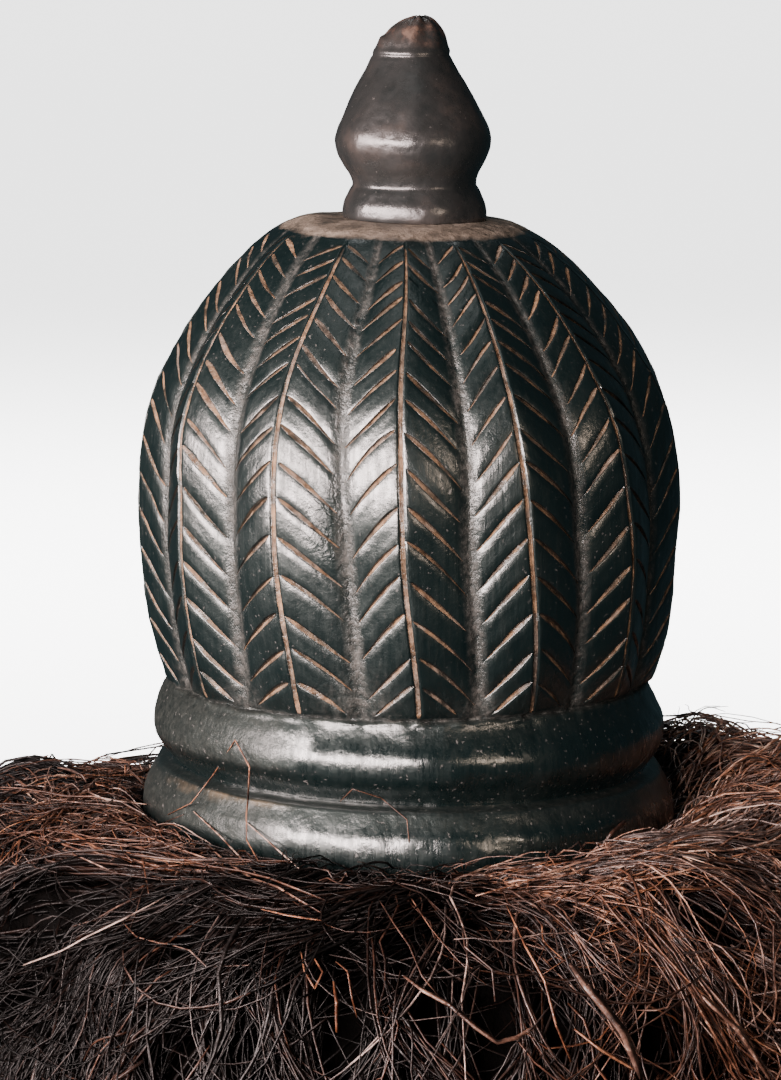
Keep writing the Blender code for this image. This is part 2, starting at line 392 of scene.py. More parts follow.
def half_lobe_columns():
    """Places u of the columns across a half lobe, 0 on the crest, 1 in the valley."""
    rib = RIB_HALF / 0.0265
    return np.array([
        0.0, rib * 0.45, rib * 0.95, rib * 1.35, rib * 2.0,
        0.16, 0.22, 0.30, 0.39, 0.48, 0.57, 0.66, 0.74, 0.81, 0.87, 0.92, 0.96,
    ])


def vein_rows():
    """Rows of the dome as (distance up the crest, place in a cut, cut number).
    A place is 9 outside the cuts; inside it is measured in cut half widths."""
    ups = [v[0] for v in VEINS]
    starts, s = [], S_TOP - FIRST_CUT
    while s > 0.003:
        starts.append(s)
        s -= float(np.interp(s, ups, [v[1] for v in VEINS]))
    rows = [(S_TOP + 0.030, 9.0, -1), (S_TOP + 0.012, 9.0, -1)]
    places = (1.45, 1.0, 0.42, -0.10, -1.0, -1.45)
    for n, s in enumerate(starts):
        for p in places:
            rows.append((s, p, n))
        if n + 1 < len(starts):
            gap = s - starts[n + 1]
            for q in (0.36, 0.64):
                rows.append((s - gap * q, 9.0, n))
    tail = starts[-1]
    while tail > -0.001:
        tail -= 0.0045
        rows.append((max(tail, -0.002), 9.0, len(starts) - 1))
    return rows, starts


def make_crown(material):
    us = half_lobe_columns()
    n_u = len(us)
    n_lines = len(LINES) + BACK_LINES
    # Columns run round the dome: from each line to the next. Even lines are
    # valleys and odd ones are crests.
    col_line, col_u, col_side = [], [], []
    for line in range(n_lines):
        if line % 2 == 1:                       # crest to the next valley
            seq = us
            for u in seq:
                col_line.append(line); col_u.append(u); col_side.append(1)
        else:                                   # valley to the next crest
            seq = np.concatenate([[1.0], us[:0:-1]])
            for u in seq:
                col_line.append(line); col_u.append(u); col_side.append(-1)
    col_line = np.array(col_line); col_u = np.array(col_u); col_side = np.array(col_side)
    n_c = len(col_u)
    half_id = col_line                            # one number for each half lobe
    # share of the way from this line to the next
    share = np.where(col_side > 0, col_u, 1.0 - col_u)

    rows, starts = vein_rows()
    n_v = len(starts)
    ups = [v[0] for v in VEINS]
    drops = [v[2] for v in VEINS]
    # every half lobe's cuts differ a little
    jit_s = rng.normal(0.0, 0.0011, (n_lines, n_v))
    jit_w = np.clip(rng.normal(1.0, 0.13, (n_lines, n_v)), 0.7, 1.3)
    jit_d = np.clip(rng.normal(1.0, 0.15, (n_lines, n_v)), 0.65, 1.3)
    jit_a = np.clip(rng.normal(0.066, 0.012, (n_lines, n_v)), 0.053, 0.105)
    jit_b = np.clip(rng.normal(0.905, 0.03, (n_lines, n_v)), 0.83, 0.96)
    jit_c = rng.normal(0.0, 0.0007, (n_lines, n_v))
    jit_k = np.clip(rng.normal(0.25, 0.10, (n_lines, n_v)), 0.02, 0.5)

    window = smooth(col_u / 0.07) * smooth((1.0 - col_u) / 0.06)
    steep = np.array([STEEPER.get(int(line), 1.0) for line in col_line])
    steep = 1.0 + (steep - 1.0) * smooth((1.0 - col_u) / 0.08)
    ring_index, ring_s, ring_cut = [], [], []
    for up, place, n in rows:
        drop = np.interp(min(max(up, 0.0), S_TOP), ups, drops)
        cut = np.full(n_c, 0.0)
        if n >= 0:
            j = half_id
            mid_shift = jit_s[j, n] * window + jit_c[j, n] * np.sin(math.pi * col_u) * window
            bow = jit_k[j, n]
        else:
            mid_shift, bow = 0.0, 0.25
        fall = drop * ((1.0 - bow) * col_u + bow * col_u**1.7) if n >= 0 else drop * (0.75 * col_u + 0.25 * col_u**1.7)
        # valley and crest ends are shared by two half lobes, so they don't vary
        s = up - fall * steep
        if n >= 0:
            s = s + mid_shift
            if place < 5:
                a, b = jit_a[half_id, n], jit_b[half_id, n]
                t = np.clip((col_u - a) / (b - a), 0.0, 1.0)
                lens = (0.50 + 0.50 * smooth(t / 0.26)) * (1.0 - 0.78 * smooth((t - 0.36) / 0.64)) * smooth(t / 0.03) * smooth((1.0 - t) / 0.05)
                lens = np.where((col_u > a) & (col_u < b), lens, 0.0)
                half = CUT_HALF * (0.10 + 0.90 * lens) * jit_w[half_id, n] ** np.where(window > 0.5, 1.0, 0.0)
                half = np.where(window > 0.02, half, CUT_HALF * 0.2)
                s = s + place * half
                cut = lens
        ring_s.append(s)
        if place < 5:
            shape = {1.45: 0.0, 1.0: 0.10, 0.42: 1.0, -0.10: 0.85, -1.0: 0.10, -1.45: -0.07}[place]
            bare = {1.45: 0.0, 1.0: 0.05, 0.42: 0.62, -0.10: 1.0, -1.0: 0.42, -1.45: 0.0}[place]
            # dark: painted shade along each cut's steep upper wall, carried as the wall attribute
            dark = {1.45: 0.10, 1.0: 1.0, 0.42: 0.70, -0.10: 0.05, -1.0: 0.0, -1.45: 0.0}[place]
            deep = CUT_DEEP * (0.35 + 0.65 * cut) * jit_d[half_id, n] * smooth(cut / 0.35)
            ring_cut.append((shape * deep, bare * smooth(cut / 0.22), dark * smooth(cut / 0.22)))
        else:
            ring_cut.append((np.zeros(n_c), np.zeros(n_c), np.zeros(n_c)))
    S = np.array(ring_s)
    D = np.array([r[0] for r in ring_cut])
    M = np.array([r[1] for r in ring_cut])
    CUT_PAINTED_SHADE = np.array([r[2] for r in ring_cut])
    # rows never cross
    for i in range(1, len(S)):
        S[i] = np.minimum(S[i], S[i - 1] - 1e-6)

    wobble = Waves(3, 0.055)
    fine = Waves(3, 0.012)
    chips = Waves(3, 0.0065)

    def place_points(s, cols_share, cols_line, cols_u, cols_side, depth):
        """Points on the dome at arc length s, pushed in by depth."""
        h = height_at(s)
        azimuths = line_azimuths_grid(h, cols_line, cols_share)
        return block_point(h, azimuths, cols_u, depth, s)

    def line_azimuths_grid(h, lines, shares):
        out = np.empty_like(h)
        for line in range(n_lines):
            pick = lines == line
            if not pick.any():
                continue
            a, b = LINE_FUNCS(line, h[pick])
            out[pick] = a + (b - a) * shares[pick]
        return out

    def LINE_FUNCS(line, h):
        key = np.linspace(BLOCK[0][0], BLOCK[-1][0], 160)
        if "table" not in cache:
            cache["table"] = line_azimuths(key)
        t = cache["table"]
        a = np.interp(h, key, t[line])
        b = np.interp(h, key, t[line + 1]) if line + 1 < n_lines else np.interp(h, key, t[0]) + 2 * math.pi
        return a, b

    cache = {}

    def lobe_depth(u):
        flank = 0.70 * u + 0.19 * u * u
        channel = 0.15 * smooth((u - 0.78) / 0.22)
        soft = 0.028 * smooth(1.0 - u / 0.14)
        return flank + channel - 0.05 + soft

    def block_point(h, azimuth, u, depth, s):
        r0 = profile(h)
        relief = hermite(TABLES["relief"], h)
        cx = hermite(TABLES["cx"], h)
        tilt = hermite(TABLES["tilt"], h)
        r = r0 * (1.0 - relief * lobe_depth(u))
        x, y = r * np.sin(azimuth), -r * np.cos(azimuth)
        lumps = 0.00035 * wobble(x, y, h) + 0.00012 * fine(x, y, h)
        r = r + lumps - depth
        x, y = cx + r * np.sin(azimuth), -r * np.cos(azimuth)
        # the top stands a little higher at -X of the finial
        shoulder = 0.0017 * np.exp(-((x + 0.043) / 0.010) ** 2 - (y / 0.028) ** 2) * smooth((h - 0.268) / 0.008)
        return np.stack([x, y, h - CEILING - tilt * x + shoulder], axis=-1)

    verts, attr = [], {"cut": [], "rib": [], "valley": [], "zone": [], "wall": []}
    count = 0

    def push(points, cut, rib, valley, zone, wall=0.0):
        nonlocal count
        n = len(points)
        verts.append(points)
        for key, value in (("cut", cut), ("rib", rib), ("valley", valley), ("zone", zone), ("wall", wall)):
            attr[key].append(np.broadcast_to(np.asarray(value, float), (n,)).copy())
        start = count
        count += n
        return np.arange(start, start + n)

    rib_u = RIB_HALF / 0.0265
    rib_shape = np.where(col_u < rib_u * 0.5, 1.0, np.where(col_u < rib_u * 1.0, 0.12, 0.0))
    rib_mask = np.where(col_u < rib_u * 0.5, 1.0, 0.0)
    valley_mask = smooth((col_u - 0.81) / 0.14)

    def rib_depth(s):
        """Midrib cut: runs in at the top and ends a little above the foot."""
        t = np.clip(s / S_TOP, 0, 1)
        return RIB_DEEP * (0.55 + 0.45 * smooth(t / 0.08)) * smooth((1.0 - t) / 0.03) * (0.92 + 0.10 * np.sin(37.0 * t + 1.7 * col_line))

    # top edge of the lobes and foot of the dome
    edge_s = np.full(n_c, S_TOP)
    foot_s = np.zeros(n_c)
    top_ids = push(place_points(edge_s, share, col_line, col_u, col_side, np.zeros(n_c)), 0.0, 0.0, valley_mask, 0.35)
    foot_ids = push(place_points(foot_s, share, col_line, col_u, col_side, rib_depth(foot_s) * rib_shape * 0.6), 0.0, rib_mask * 0.6, valley_mask, 0.0)

    ids = []
    for i in range(len(S)):
        s = S[i]
        row = np.empty(n_c, dtype=np.int64)
        above, below = s >= S_TOP - 4e-4, s <= 4e-4
        row[above] = top_ids[above]
        row[below] = foot_ids[below]
        keep = ~(above | below)
        if keep.any():
            rim_fade = smooth((S_TOP - s) / 0.003) * smooth(s / 0.003)
            rd = rib_depth(s)
            depth = D[i] * rim_fade * (1.0 - rib_mask) + rd * rib_shape
            # worn, uneven lips
            depth = depth * (1.0 + 0.12 * np.sin(900.0 * s + 3.0 * half_id))
            pts = place_points(s[keep], share[keep], col_line[keep], col_u[keep], col_side[keep], depth[keep])
            near_top = 0.35 * (1.0 - smooth((S_TOP - s) / 0.012))
            row[keep] = push(pts, (M[i] * rim_fade)[keep], (rib_mask * smooth((S_TOP - s) / 0.01))[keep], valley_mask[keep], near_top[keep], (CUT_PAINTED_SHADE[i] * rim_fade)[keep])
        ids.append(row)

    faces = []

    def strip(upper, lower):
        n = len(upper)
        for c in range(n):
            d = (c + 1) % n
            q = [upper[c], lower[c], lower[d], upper[d]]
            f = [q[0]]
            for v in q[1:]:
                if v != f[-1]:
                    f.append(v)
            if f[0] == f[-1]:
                f.pop()
            if len(set(f)) == len(f) and len(f) >= 3:
                faces.append(f)

    for a, b in zip(ids, ids[1:]):
        strip(a, b)

    # ---- top: from the lobes' edge in to the finial's socket -------------
    def plain_ring(h, cols=None, zone=0.0, push_in=0.0, grit=0.0, u=None, valley=0.0):
        hh = np.full(n_c, h)
        az = line_azimuths_grid(np.clip(hh, BLOCK[FOOT_ROW][0], BLOCK[TOP_ROW][0]), col_line, share)
        uu = col_u if u is None else u
        # the upper ring is fuller on the left
        turn = (az + math.pi) % (2 * math.pi) - math.pi
        fuller = 0.0014 * math.exp(-((h - 0.0700) / 0.0055) ** 2) * smooth((-0.33 - turn) / 0.09) * smooth((turn + 2.6) / 0.4)
        p = block_point(hh, az, uu, push_in - fuller, hh)
        if grit:
            radial = p[:, :2] / np.linalg.norm(p[:, :2], axis=1)[:, None]
            g = grit * chips(p[:, 0], p[:, 1], p[:, 2])
            p[:, :2] += radial * g[:, None]
            p[:, 2] += 0.5 * grit * chips(p[:, 1], p[:, 2], p[:, 0])
        return push(p, 0.0, 0.0, valley, zone)

    previous = top_ids
    for k, h in enumerate(np.linspace(BLOCK[TOP_ROW][0], BLOCK[TOP_ROW + 1][0], 6)[1:]):
        current = plain_ring(float(h), zone=0.5 + 0.1 * k, grit=0.00020, valley=valley_mask * (1 - 0.2 * k))
        strip(current, previous)
        previous = current
    for h in np.linspace(BLOCK[TOP_ROW + 1][0], BLOCK[-1][0] - 1e-5, 14)[1:]:
        current = plain_ring(float(h), zone=1.0, grit=0.00012)
        strip(current, previous)
        previous = current

    def thin_ring(step, radius, z, tilt, cx):
        """A ring with every step-th of the columns, at the azimuths of the first."""
        az = line_azimuths_grid(np.full(n_c, BLOCK[TOP_ROW][0]), col_line, share)[::step]
        x, y = cx + radius * np.sin(az), -radius * np.cos(az)
        return np.stack([x, y, z - CEILING - tilt * x], axis=-1)

    def bridge(many, few):
        """Faces between a ring and one with a half as many vertices."""
        n, m = len(many), len(few)
        for i in range(m):
            a, b, c = many[2 * i], many[2 * i + 1], many[(2 * i + 2) % n]
            d, e = few[i], few[(i + 1) % m]
            faces.extend([[d, b, a], [d, e, b], [e, c, b]])

    mouth_2 = push(thin_ring(2, 0.024, SEAT_H, 0.020, FINIAL_X), 0, 0, 0, 1.0)
    mouth_4 = push(thin_ring(4, SOCKET_R, SEAT_H, 0.020, FINIAL_X), 0, 0, 0, 1.0)
    floor_4 = push(thin_ring(4, SOCKET_R, SEAT_H - SOCKET_LEN, 0.0, FINIAL_X), 0, 0, 0, 1.0)
    bridge(previous, mouth_2)
    bridge(mouth_2, mouth_4)
    strip(floor_4, mouth_4)
    faces.append(list(floor_4))

    # ---- rings: from the dome's foot down to the rim ----------------------
    ring_hs = (
        list(np.linspace(BLOCK[FOOT_ROW][0], 0.0766, 4))[1:]
        + list(np.linspace(0.0761, 0.0716, 6))
        + list(np.linspace(0.0716, 0.0445, 13))[1:]
        + [0.0432, 0.0420, 0.0411, 0.0404, 0.0396, 0.0390, 0.0384, 0.0378, 0.0368, 0.0348, 0.0325]
        + list(np.linspace(0.0325, 0.0225, 7))[1:]
        + list(np.linspace(0.0225, 0.0030, 8))[1:]
        + [0.0018, 0.0008, 0.0]
    )
    previous = foot_ids
    for h in ring_hs:
        near = float(np.exp(-((h - 0.0766) / 0.0018) ** 2))
        dusty = max(0.80 * near, 0.22 * float(smooth(np.array((h - 0.0630) / 0.0090))) * (h < 0.0755), 0.40 * float(smooth(np.array((h - 0.0285) / 0.0060))) * (h < 0.0404))
        current = plain_ring(float(h), zone=-1.0 if h < 0.0762 else -0.5, grit=0.00006 + 0.0004 * near, valley=dusty)
        strip(previous, current)
        previous = current

    # ---- hollow ------------------------------------------------------------
    def hollow_ring(step, h, r):
        az = line_azimuths_grid(np.full(n_c, BLOCK[FOOT_ROW][0]), col_line, share)[::step]
        x, y = r * np.sin(az), -r * np.cos(az)
        carve = 0.00035 * wobble(x * 1.5, y * 1.5, h) + 0.0002 * fine(x, y, h)
        x, y = (r + carve) * np.sin(az), -(r + carve) * np.cos(az)
        return np.stack([x, y, np.full(len(az), h - CEILING)], axis=-1)

    in_2 = push(hollow_ring(2, 0.0, 0.1065), 0, 0, 0, -2.0)
    bridge(previous, in_2)
    in_4 = push(hollow_ring(4, 0.0, 0.1010), 0, 0, 0, -2.0)
    bridge(in_2, in_4)
    inner_hs = [0.0012, 0.003] + list(np.linspace(0.003, 0.206, 22))[1:] + list(np.linspace(0.206, CEILING, 10))[1:]
    previous = in_4
    for h in inner_hs:
        current = push(hollow_ring(4, float(h), float(hermite(HOLLOW, np.array(h)))), 0, 0, 0, -2.0)
        strip(previous, current)
        previous = current
    faces.append(list(previous)[::-1])

    V = np.concatenate(verts)
    A = {k: np.concatenate(v) for k, v in attr.items()}
    az = np.degrees(np.arctan2(V[:, 0], -V[:, 1]))
    hh = V[:, 2] + CEILING
    outer = A["zone"] > -1.5
    # a chipped place beside the valley left of the middle lobe
    A["chip"] = outer * np.exp(-((az + 17.0) / 2.8) ** 2 - ((hh - 0.1625) / 0.0150) ** 2)
    # rough, dusty wood where the valleys run out at the foot
    foot = np.zeros(len(V))
    for centre, wide, tall in ((-11.5, 6.4, 0.0130), (16.0, 3.6, 0.0070), (41.0, 3.0, 0.0070), (-41.0, 4.2, 0.0080), (-66.0, 4.0, 0.0100), (68.0, 3.4, 0.0070)):
        foot = np.maximum(foot, np.exp(-((az - centre) / wide) ** 2 - (np.maximum(hh - 0.0800, 0.0) / tall) ** 2 - (np.minimum(hh - 0.0770, 0.0) / 0.0012) ** 2))
    A["valley"] = np.maximum(A["valley"], outer * foot)
    # the rings are dusty on the left
    rings = outer * smooth((-0.55 - A["zone"]) / 0.3)
    upper = np.maximum(smooth((hh - 0.0510) / 0.0050), smooth((hh - 0.0200) / 0.0050) * (hh < 0.0390))
    A["valley"] = np.maximum(A["valley"], 0.84 * rings * upper * smooth((-22.0 - az) / 12.0) * smooth((az + 125.0) / 30.0))
    # the lower ring's upper edge on the left: a painted highlight line, coloured ochre
    A["edge"] = outer * np.exp(-((hh - 0.0381) / 0.0009) ** 2) * smooth((az + 72.0) / 14.0) * smooth((-24.0 - az) / 16.0)
    obj = build_object("crown_carved", V, faces, "crown", material, A)
    fix_normals(obj)
    obj.data.set_sharp_from_angle(angle=math.radians(52.0))
    return obj


def fix_normals(obj):
    """All faces look out."""
    bm = bmesh.new()
    bm.from_mesh(obj.data)
    volume = bm.calc_volume(signed=True)
    if volume < 0:
        bmesh.ops.reverse_faces(bm, faces=bm.faces)
        bm.to_mesh(obj.data)
    bm.free()
    obj.data.update()


# ======================================================================
# finial
# ======================================================================
FINIAL = (
    # h       r       cx       tilt
    (0.2818, 0.0318, 0.0003, 0.020),
    (0.2850, 0.0318, 0.0003, 0.018),
    (0.2880, 0.0314, 0.0002, 0.014),
    (0.2910, 0.0302, 0.0001, 0.010),
    (0.2942, 0.0284, 0.0000, 0.006),
    (0.2975, 0.0275, -0.0001, 0.004),
    (0.3010, 0.0285, -0.0002, 0.002),
    (0.3048, 0.0307, -0.0003, 0.000),
    (0.3085, 0.0326, -0.0003, 0.000),
    (0.3124, 0.0339, -0.0003, 0.000),
    (0.3160, 0.0343, -0.0003, 0.000),
    (0.3200, 0.0336, -0.0003, 0.000),
    (0.3262, 0.0310, -0.0004, 0.000),
    (0.3332, 0.0278, -0.0006, 0.000),
    (0.3402, 0.0241, -0.0009, 0.000),
    (0.3470, 0.0200, -0.0011, 0.000),
    (0.3524, 0.0173, -0.0012, 0.000),
    (0.3558, 0.0160, -0.0011, 0.000),
    (0.3600, 0.0146, -0.0010, 0.000),
    (0.3638, 0.0126, -0.0005, 0.000),
    (0.3668, 0.0098, 0.0005, 0.000),
    (0.3688, 0.0066, 0.0015, 0.000),
    (0.3698, 0.0030, 0.0022, 0.000),
)
TENON_R, TENON_LEN = 0.0110, 0.0184


def make_finial(material):
    seg = 144
    az = np.linspace(0, 2 * math.pi, seg, endpoint=False)
    hs_t = [r[0] for r in FINIAL]
    tab = {k: list(zip(hs_t, [r[i] for r in FINIAL])) for i, k in ((1, "r"), (2, "cx"), (3, "tilt"))}
    lump = Waves(3, 0.030)
    grain = Waves(3, 0.006)
    verts, faces, worn = [], [], []
    count = 0

    def push(points, w):
        nonlocal count
        verts.append(points)
        worn.append(np.broadcast_to(np.asarray(w, float), (len(points),)).copy())
        out = np.arange(count, count + len(points))
        count += len(points)
        return out

    def strip(a, b):
        n = len(a)
        for c in range(n):
            d = (c + 1) % n
            faces.append([a[c], a[d], b[d], b[c]])

    hs = list(np.concatenate([
        [0.2818, 0.2821, 0.2826, 0.2833], np.linspace(0.2842, 0.3160, 34), np.linspace(0.3172, 0.3520, 30), np.linspace(0.3530, 0.3698, 28),
    ]))
    tenon_bottom = push(np.stack([FINIAL_X + TENON_R * np.sin(az), -TENON_R * np.cos(az), np.full(seg, SEAT_H - TENON_LEN - CEILING)], -1), 0.0)
    x = FINIAL_X + TENON_R * np.sin(az)
    tenon_top = push(np.stack([x, -TENON_R * np.cos(az), SEAT_H + 0.0003 - CEILING - 0.020 * x], -1), 0.0)
    faces.append(list(tenon_bottom)[::-1])
    strip(tenon_bottom, tenon_top)
    previous = tenon_top
    for h in hs:
        r = float(hermite(tab["r"], np.array(h)))
        cx = float(hermite(tab["cx"], np.array(h)))
        tilt = float(hermite(tab["tilt"], np.array(h)))
        if h < 0.2830:
            r -= 0.0004 * (1.0 - (h - 0.2818) / 0.0012)
        # a turned line above the bulb's shoulder and one at the waist
        r -= 0.00045 * math.exp(-((h - 0.2962) / 0.0006) ** 2)
        r += 0.00030 * math.exp(-((h - 0.2935) / 0.0010) ** 2)
        r -= 0.00040 * math.exp(-((h - 0.3530) / 0.0007) ** 2)
        r += 0.00035 * math.exp(-((h - 0.3550) / 0.0012) ** 2)
        x0, y0 = r * np.sin(az), -r * np.cos(az)
        tip = float(smooth(np.array((h - 0.352) / 0.012)))
        rr = r + 0.00030 * lump(x0, y0, h) + 0.00005 * grain(x0, y0, h)
        # broken, eroded tip: notches and a sunken top
        rr = rr * (1.0 + tip * (0.045 * np.sin(3 * az + 0.8 + 60 * h) + 0.035 * np.sin(7 * az + 2.0 - 140 * h)))
        # a step broken out of the -X side below the top
        rr = rr - 0.0016 * tip * smooth(np.array((h - 0.3605) / 0.0015)) * smooth((np.cos(az + 1.75) - 0.35) / 0.5)
        x = FINIAL_X + cx + rr * np.sin(az)
        y = -rr * np.cos(az)
        z = h - CEILING - tilt * x + tip * (0.00045 * np.sin(4 * az + 1.3) + 0.0003 * np.sin(9 * az + 0.3))
        current = push(np.stack([x, y, z], -1), tip)
        strip(previous, current)
        previous = current
    # small hollow in the broken end; its deeper rings are painted near black: painted shade
    cx = FINIAL_X + 0.0020
    for r, z in ((0.0026, 0.3700), (0.0020, 0.3698), (0.0015, 0.3688), (0.0009, 0.3674)):
        rr = r * (1.0 + 0.15 * np.sin(3 * az + 0.5))
        current = push(np.stack([cx + rr * np.sin(az), -rr * np.cos(az), np.full(seg, z - CEILING)], -1), 1.0 if z > 0.3690 else 1.6)
        strip(previous, current)
        previous = current
    faces.append(list(previous))
    obj = build_object("finial_turned", np.concatenate(verts), faces, "finial", material, {"worn": np.concatenate(worn)})
    fix_normals(obj)
    obj.data.set_sharp_from_angle(angle=math.radians(50.0))
    return obj


# ======================================================================
# fibre ruff
# ======================================================================
COLLAR_R = 0.1200
RUFF = (
    # h       r       lift  collar sway
    (0.0110, COLLAR_R, 0.0, 1.0, 0.0),
    (0.0150, 0.1260, 0.1, 0.9, 0.0),
    (0.0178, 0.1370, 0.5, 0.6, 0.2),
    (0.0195, 0.1540, 1.0, 0.2, 0.4),
    (0.0195, 0.1730, 1.1, 0.0, 0.5),
    (0.0160, 0.1920, 1.0, 0.0, 0.7),
    (0.0060, 0.2090, 0.8, 0.0, 0.9),
    (-0.0120, 0.2240, 0.6, 0.0, 1.0),
    (-0.0400, 0.2350, 0.35, 0.0, 1.0),
    (-0.0750, 0.2410, 0.1, 0.0, 1.0),
    (-0.1100, 0.2430, 0.0, 0.0, 1.0),
    (-0.1400, 0.2415, 0.0, 0.0, 1.0),
    (-0.1540, 0.2340, 0.0, 0.0, 1.0),
    (-0.1580, 0.2180, 0.0, 0.0, 0.8),
)
RUFF_INSIDE = (
    # h       r
    (-0.1570, 0.1900), (-0.1530, 0.1680), (-0.1400, 0.1580), (-0.1000, 0.1470),
    (-0.0600, 0.1300), (-0.0250, 0.1110), (-0.0060, 0.1030), (-0.0003, 0.1015),
)
RUFF_LIFT, RUFF_LIFT_AZ, RUFF_FRONT_DROP = 0.0160, 125.0, 0.0040
RUFF_DIP, RUFF_DIP_AZ, RUFF_DIP_FROM = 0.0175, -170.0, 0.30
COLLAR_TILT, RUFF_WAVE = 0.0055, 0.0040


def ruff_tables():
    """The outside of the ruff's section by its arc length from the collar."""
    pts = np.array([(r[1], r[0]) for r in RUFF])
    seg = np.concatenate([[0.0], np.cumsum(np.linalg.norm(np.diff(pts, axis=0), axis=1))])
    s = np.linspace(0.0, seg[-1], 900)
    r = hermite(list(zip(seg, pts[:, 0])), s)
    h = hermite(list(zip(seg, pts[:, 1])), s)
    tr, th = np.gradient(r), np.gradient(h)
    # the normals are evened out, so that depth doesn't fold the surface
    kernel = np.hanning(61) / np.hanning(61).sum()
    tr, th = (np.convolve(np.pad(t, 30, mode="edge"), kernel, mode="valid") for t in (tr, th))
    ln = np.hypot(tr, th) + 1e-12
    table = {"s": s, "r": r, "h": h, "nr": -th / ln, "nh": tr / ln}
    for i, key in ((2, "lift"), (3, "collar"), (4, "sway")):
        table[key] = np.interp(s, seg, [row[i] for row in RUFF])
    return table


RUFF_T = ruff_tables()
RUFF_LEN = float(RUFF_T["s"][-1])


def ruff_point(azimuth, s, depth):
    """Point of the ruff at arc length s down its outside from the collar, at a
    depth under its outer surface. All arguments are arrays."""
    r, h, nr, nh, lift, collar, sway = (np.interp(s, RUFF_T["s"], RUFF_T[k]) for k in ("r", "h", "nr", "nh", "lift", "collar", "sway"))
    up = RUFF_LIFT * smooth(0.5 + 0.5 * np.cos(azimuth - math.radians(RUFF_LIFT_AZ)))
    up = up - RUFF_FRONT_DROP * smooth(np.cos(azimuth))
    up = up - RUFF_DIP * smooth((np.cos(azimuth - math.radians(RUFF_DIP_AZ)) - RUFF_DIP_FROM) / (1.0 - RUFF_DIP_FROM))
    up = lift * up - collar * COLLAR_TILT * np.sin(azimuth)
    wave = RUFF_WAVE * (np.sin(3.0 * azimuth + 0.7) * 0.5 + np.sin(5.0 * azimuth + 2.1) * 0.5)
    rr = r + sway * wave - nr * depth
    hh = h + up - nh * depth
    return np.stack([rr * np.sin(azimuth), -rr * np.cos(azimuth), hh - CEILING], axis=-1)


def photo_cloud():
    """Points of the ruff's and the rings' outsides with their place in the frame."""
    az, s = np.meshgrid(np.radians(np.linspace(-120, 120, 361)), np.linspace(0.0, RUFF_LEN, 221), indexing="ij")
    ruff = ruff_point(az.ravel(), s.ravel(), np.zeros(az.size))
    az2, h = np.meshgrid(np.radians(np.linspace(-90, 90, 271)), np.linspace(0.0, 0.110, 121), indexing="ij")
    r = profile(h.ravel())
    x = r * np.sin(az2.ravel())
    block = np.stack([x, -r * np.cos(az2.ravel()), h.ravel() - CEILING - hermite(TABLES["tilt"], h.ravel()) * x], -1)
    cloud = np.concatenate([ruff, block])
    where = np.concatenate([np.stack([az.ravel(), s.ravel()], -1), np.full((len(block), 2), np.nan)])
    px, py, depth = photo_place(cloud)
    return cloud, where, px, py, depth


CLOUD = photo_cloud()


def at_photo(x, y, reach=4.0):
    """The nearest visible point of ruff or rings at a place in the frame, with
    its azimuth and arc length on the ruff."""
    cloud, where, px, py, depth = CLOUD
    d = np.hypot(px - x, py - y)
    near = np.where(d < reach)[0]
    if not len(near):
        near = np.argsort(d)[:3]
    best = near[np.argmin(depth[near] + 0.0008 * d[near])]
    return cloud[best], where[best]


# Dark hollows between the locks: place in the frame and half width, in pixels.
HOLLOWS = (
    # x    y     wide  tall
    (78, 880, 48, 32),
    (18, 898, 30, 36),
    (178, 933, 17, 18),
    (168, 1062, 28, 22),
    (335, 1035, 22, 44),
    (345, 970, 15, 28),
    (497, 1028, 24, 48),
    (430, 1015, 20, 28),
    (402, 935, 15, 15),
    (560, 1012, 17, 28),
    (668, 1040, 24, 30),
    (722, 910, 50, 15),
    (618, 1066, 18, 18),
    (720, 1066, 18, 16),
    (240, 1052, 16, 14),
    (672, 815, 14, 26),
)


def hollow_field():
    """How hollow the ruff is at a place, from 0 to 1: by its own uneven growth,
    and at the placed hollows."""
    wide = Waves(3, 0.085, 18)
    tight = Waves(3, 0.036, 18)
    marks = []
    for x, y, w, t in HOLLOWS:
        spots = [at_photo(*place)[1] for place in ((x, y - t), (x, y + t), (x - w, y), (x + w, y))]
        if not np.isnan(np.array(spots)).any():
            (_, top), (_, foot), (left, _), (right, _) = spots
            a, s = 0.5 * (left + right), 0.5 * (top + foot)
            r = float(np.interp(s, RUFF_T["s"], RUFF_T["r"]))
            marks.append((a, s, max(0.5 * abs(right - left) * r, 0.006), max(0.5 * abs(foot - top), 0.006)))

    def field(azimuth, s):
        p = ruff_point(azimuth, s, np.zeros_like(s))
        loose = smooth((0.75 * wide(p[..., 0], p[..., 1], p[..., 2]) + 0.55 * tight(p[..., 0], p[..., 1], p[..., 2]) - 0.45) / 0.55)
        loose = loose * smooth((s - 0.035) / 0.03) * 0.95
        placed = np.zeros_like(s)
        r = np.interp(s, RUFF_T["s"], RUFF_T["r"])
        for a, ss, w, t in marks:
            turn = (azimuth - a + math.pi) % (2 * math.pi) - math.pi
            placed = np.maximum(placed, smooth(1.7 - np.hypot(turn * r / w, (s - ss) / t)))
        return loose, placed

    return field


HOLLOW_AT = hollow_field()


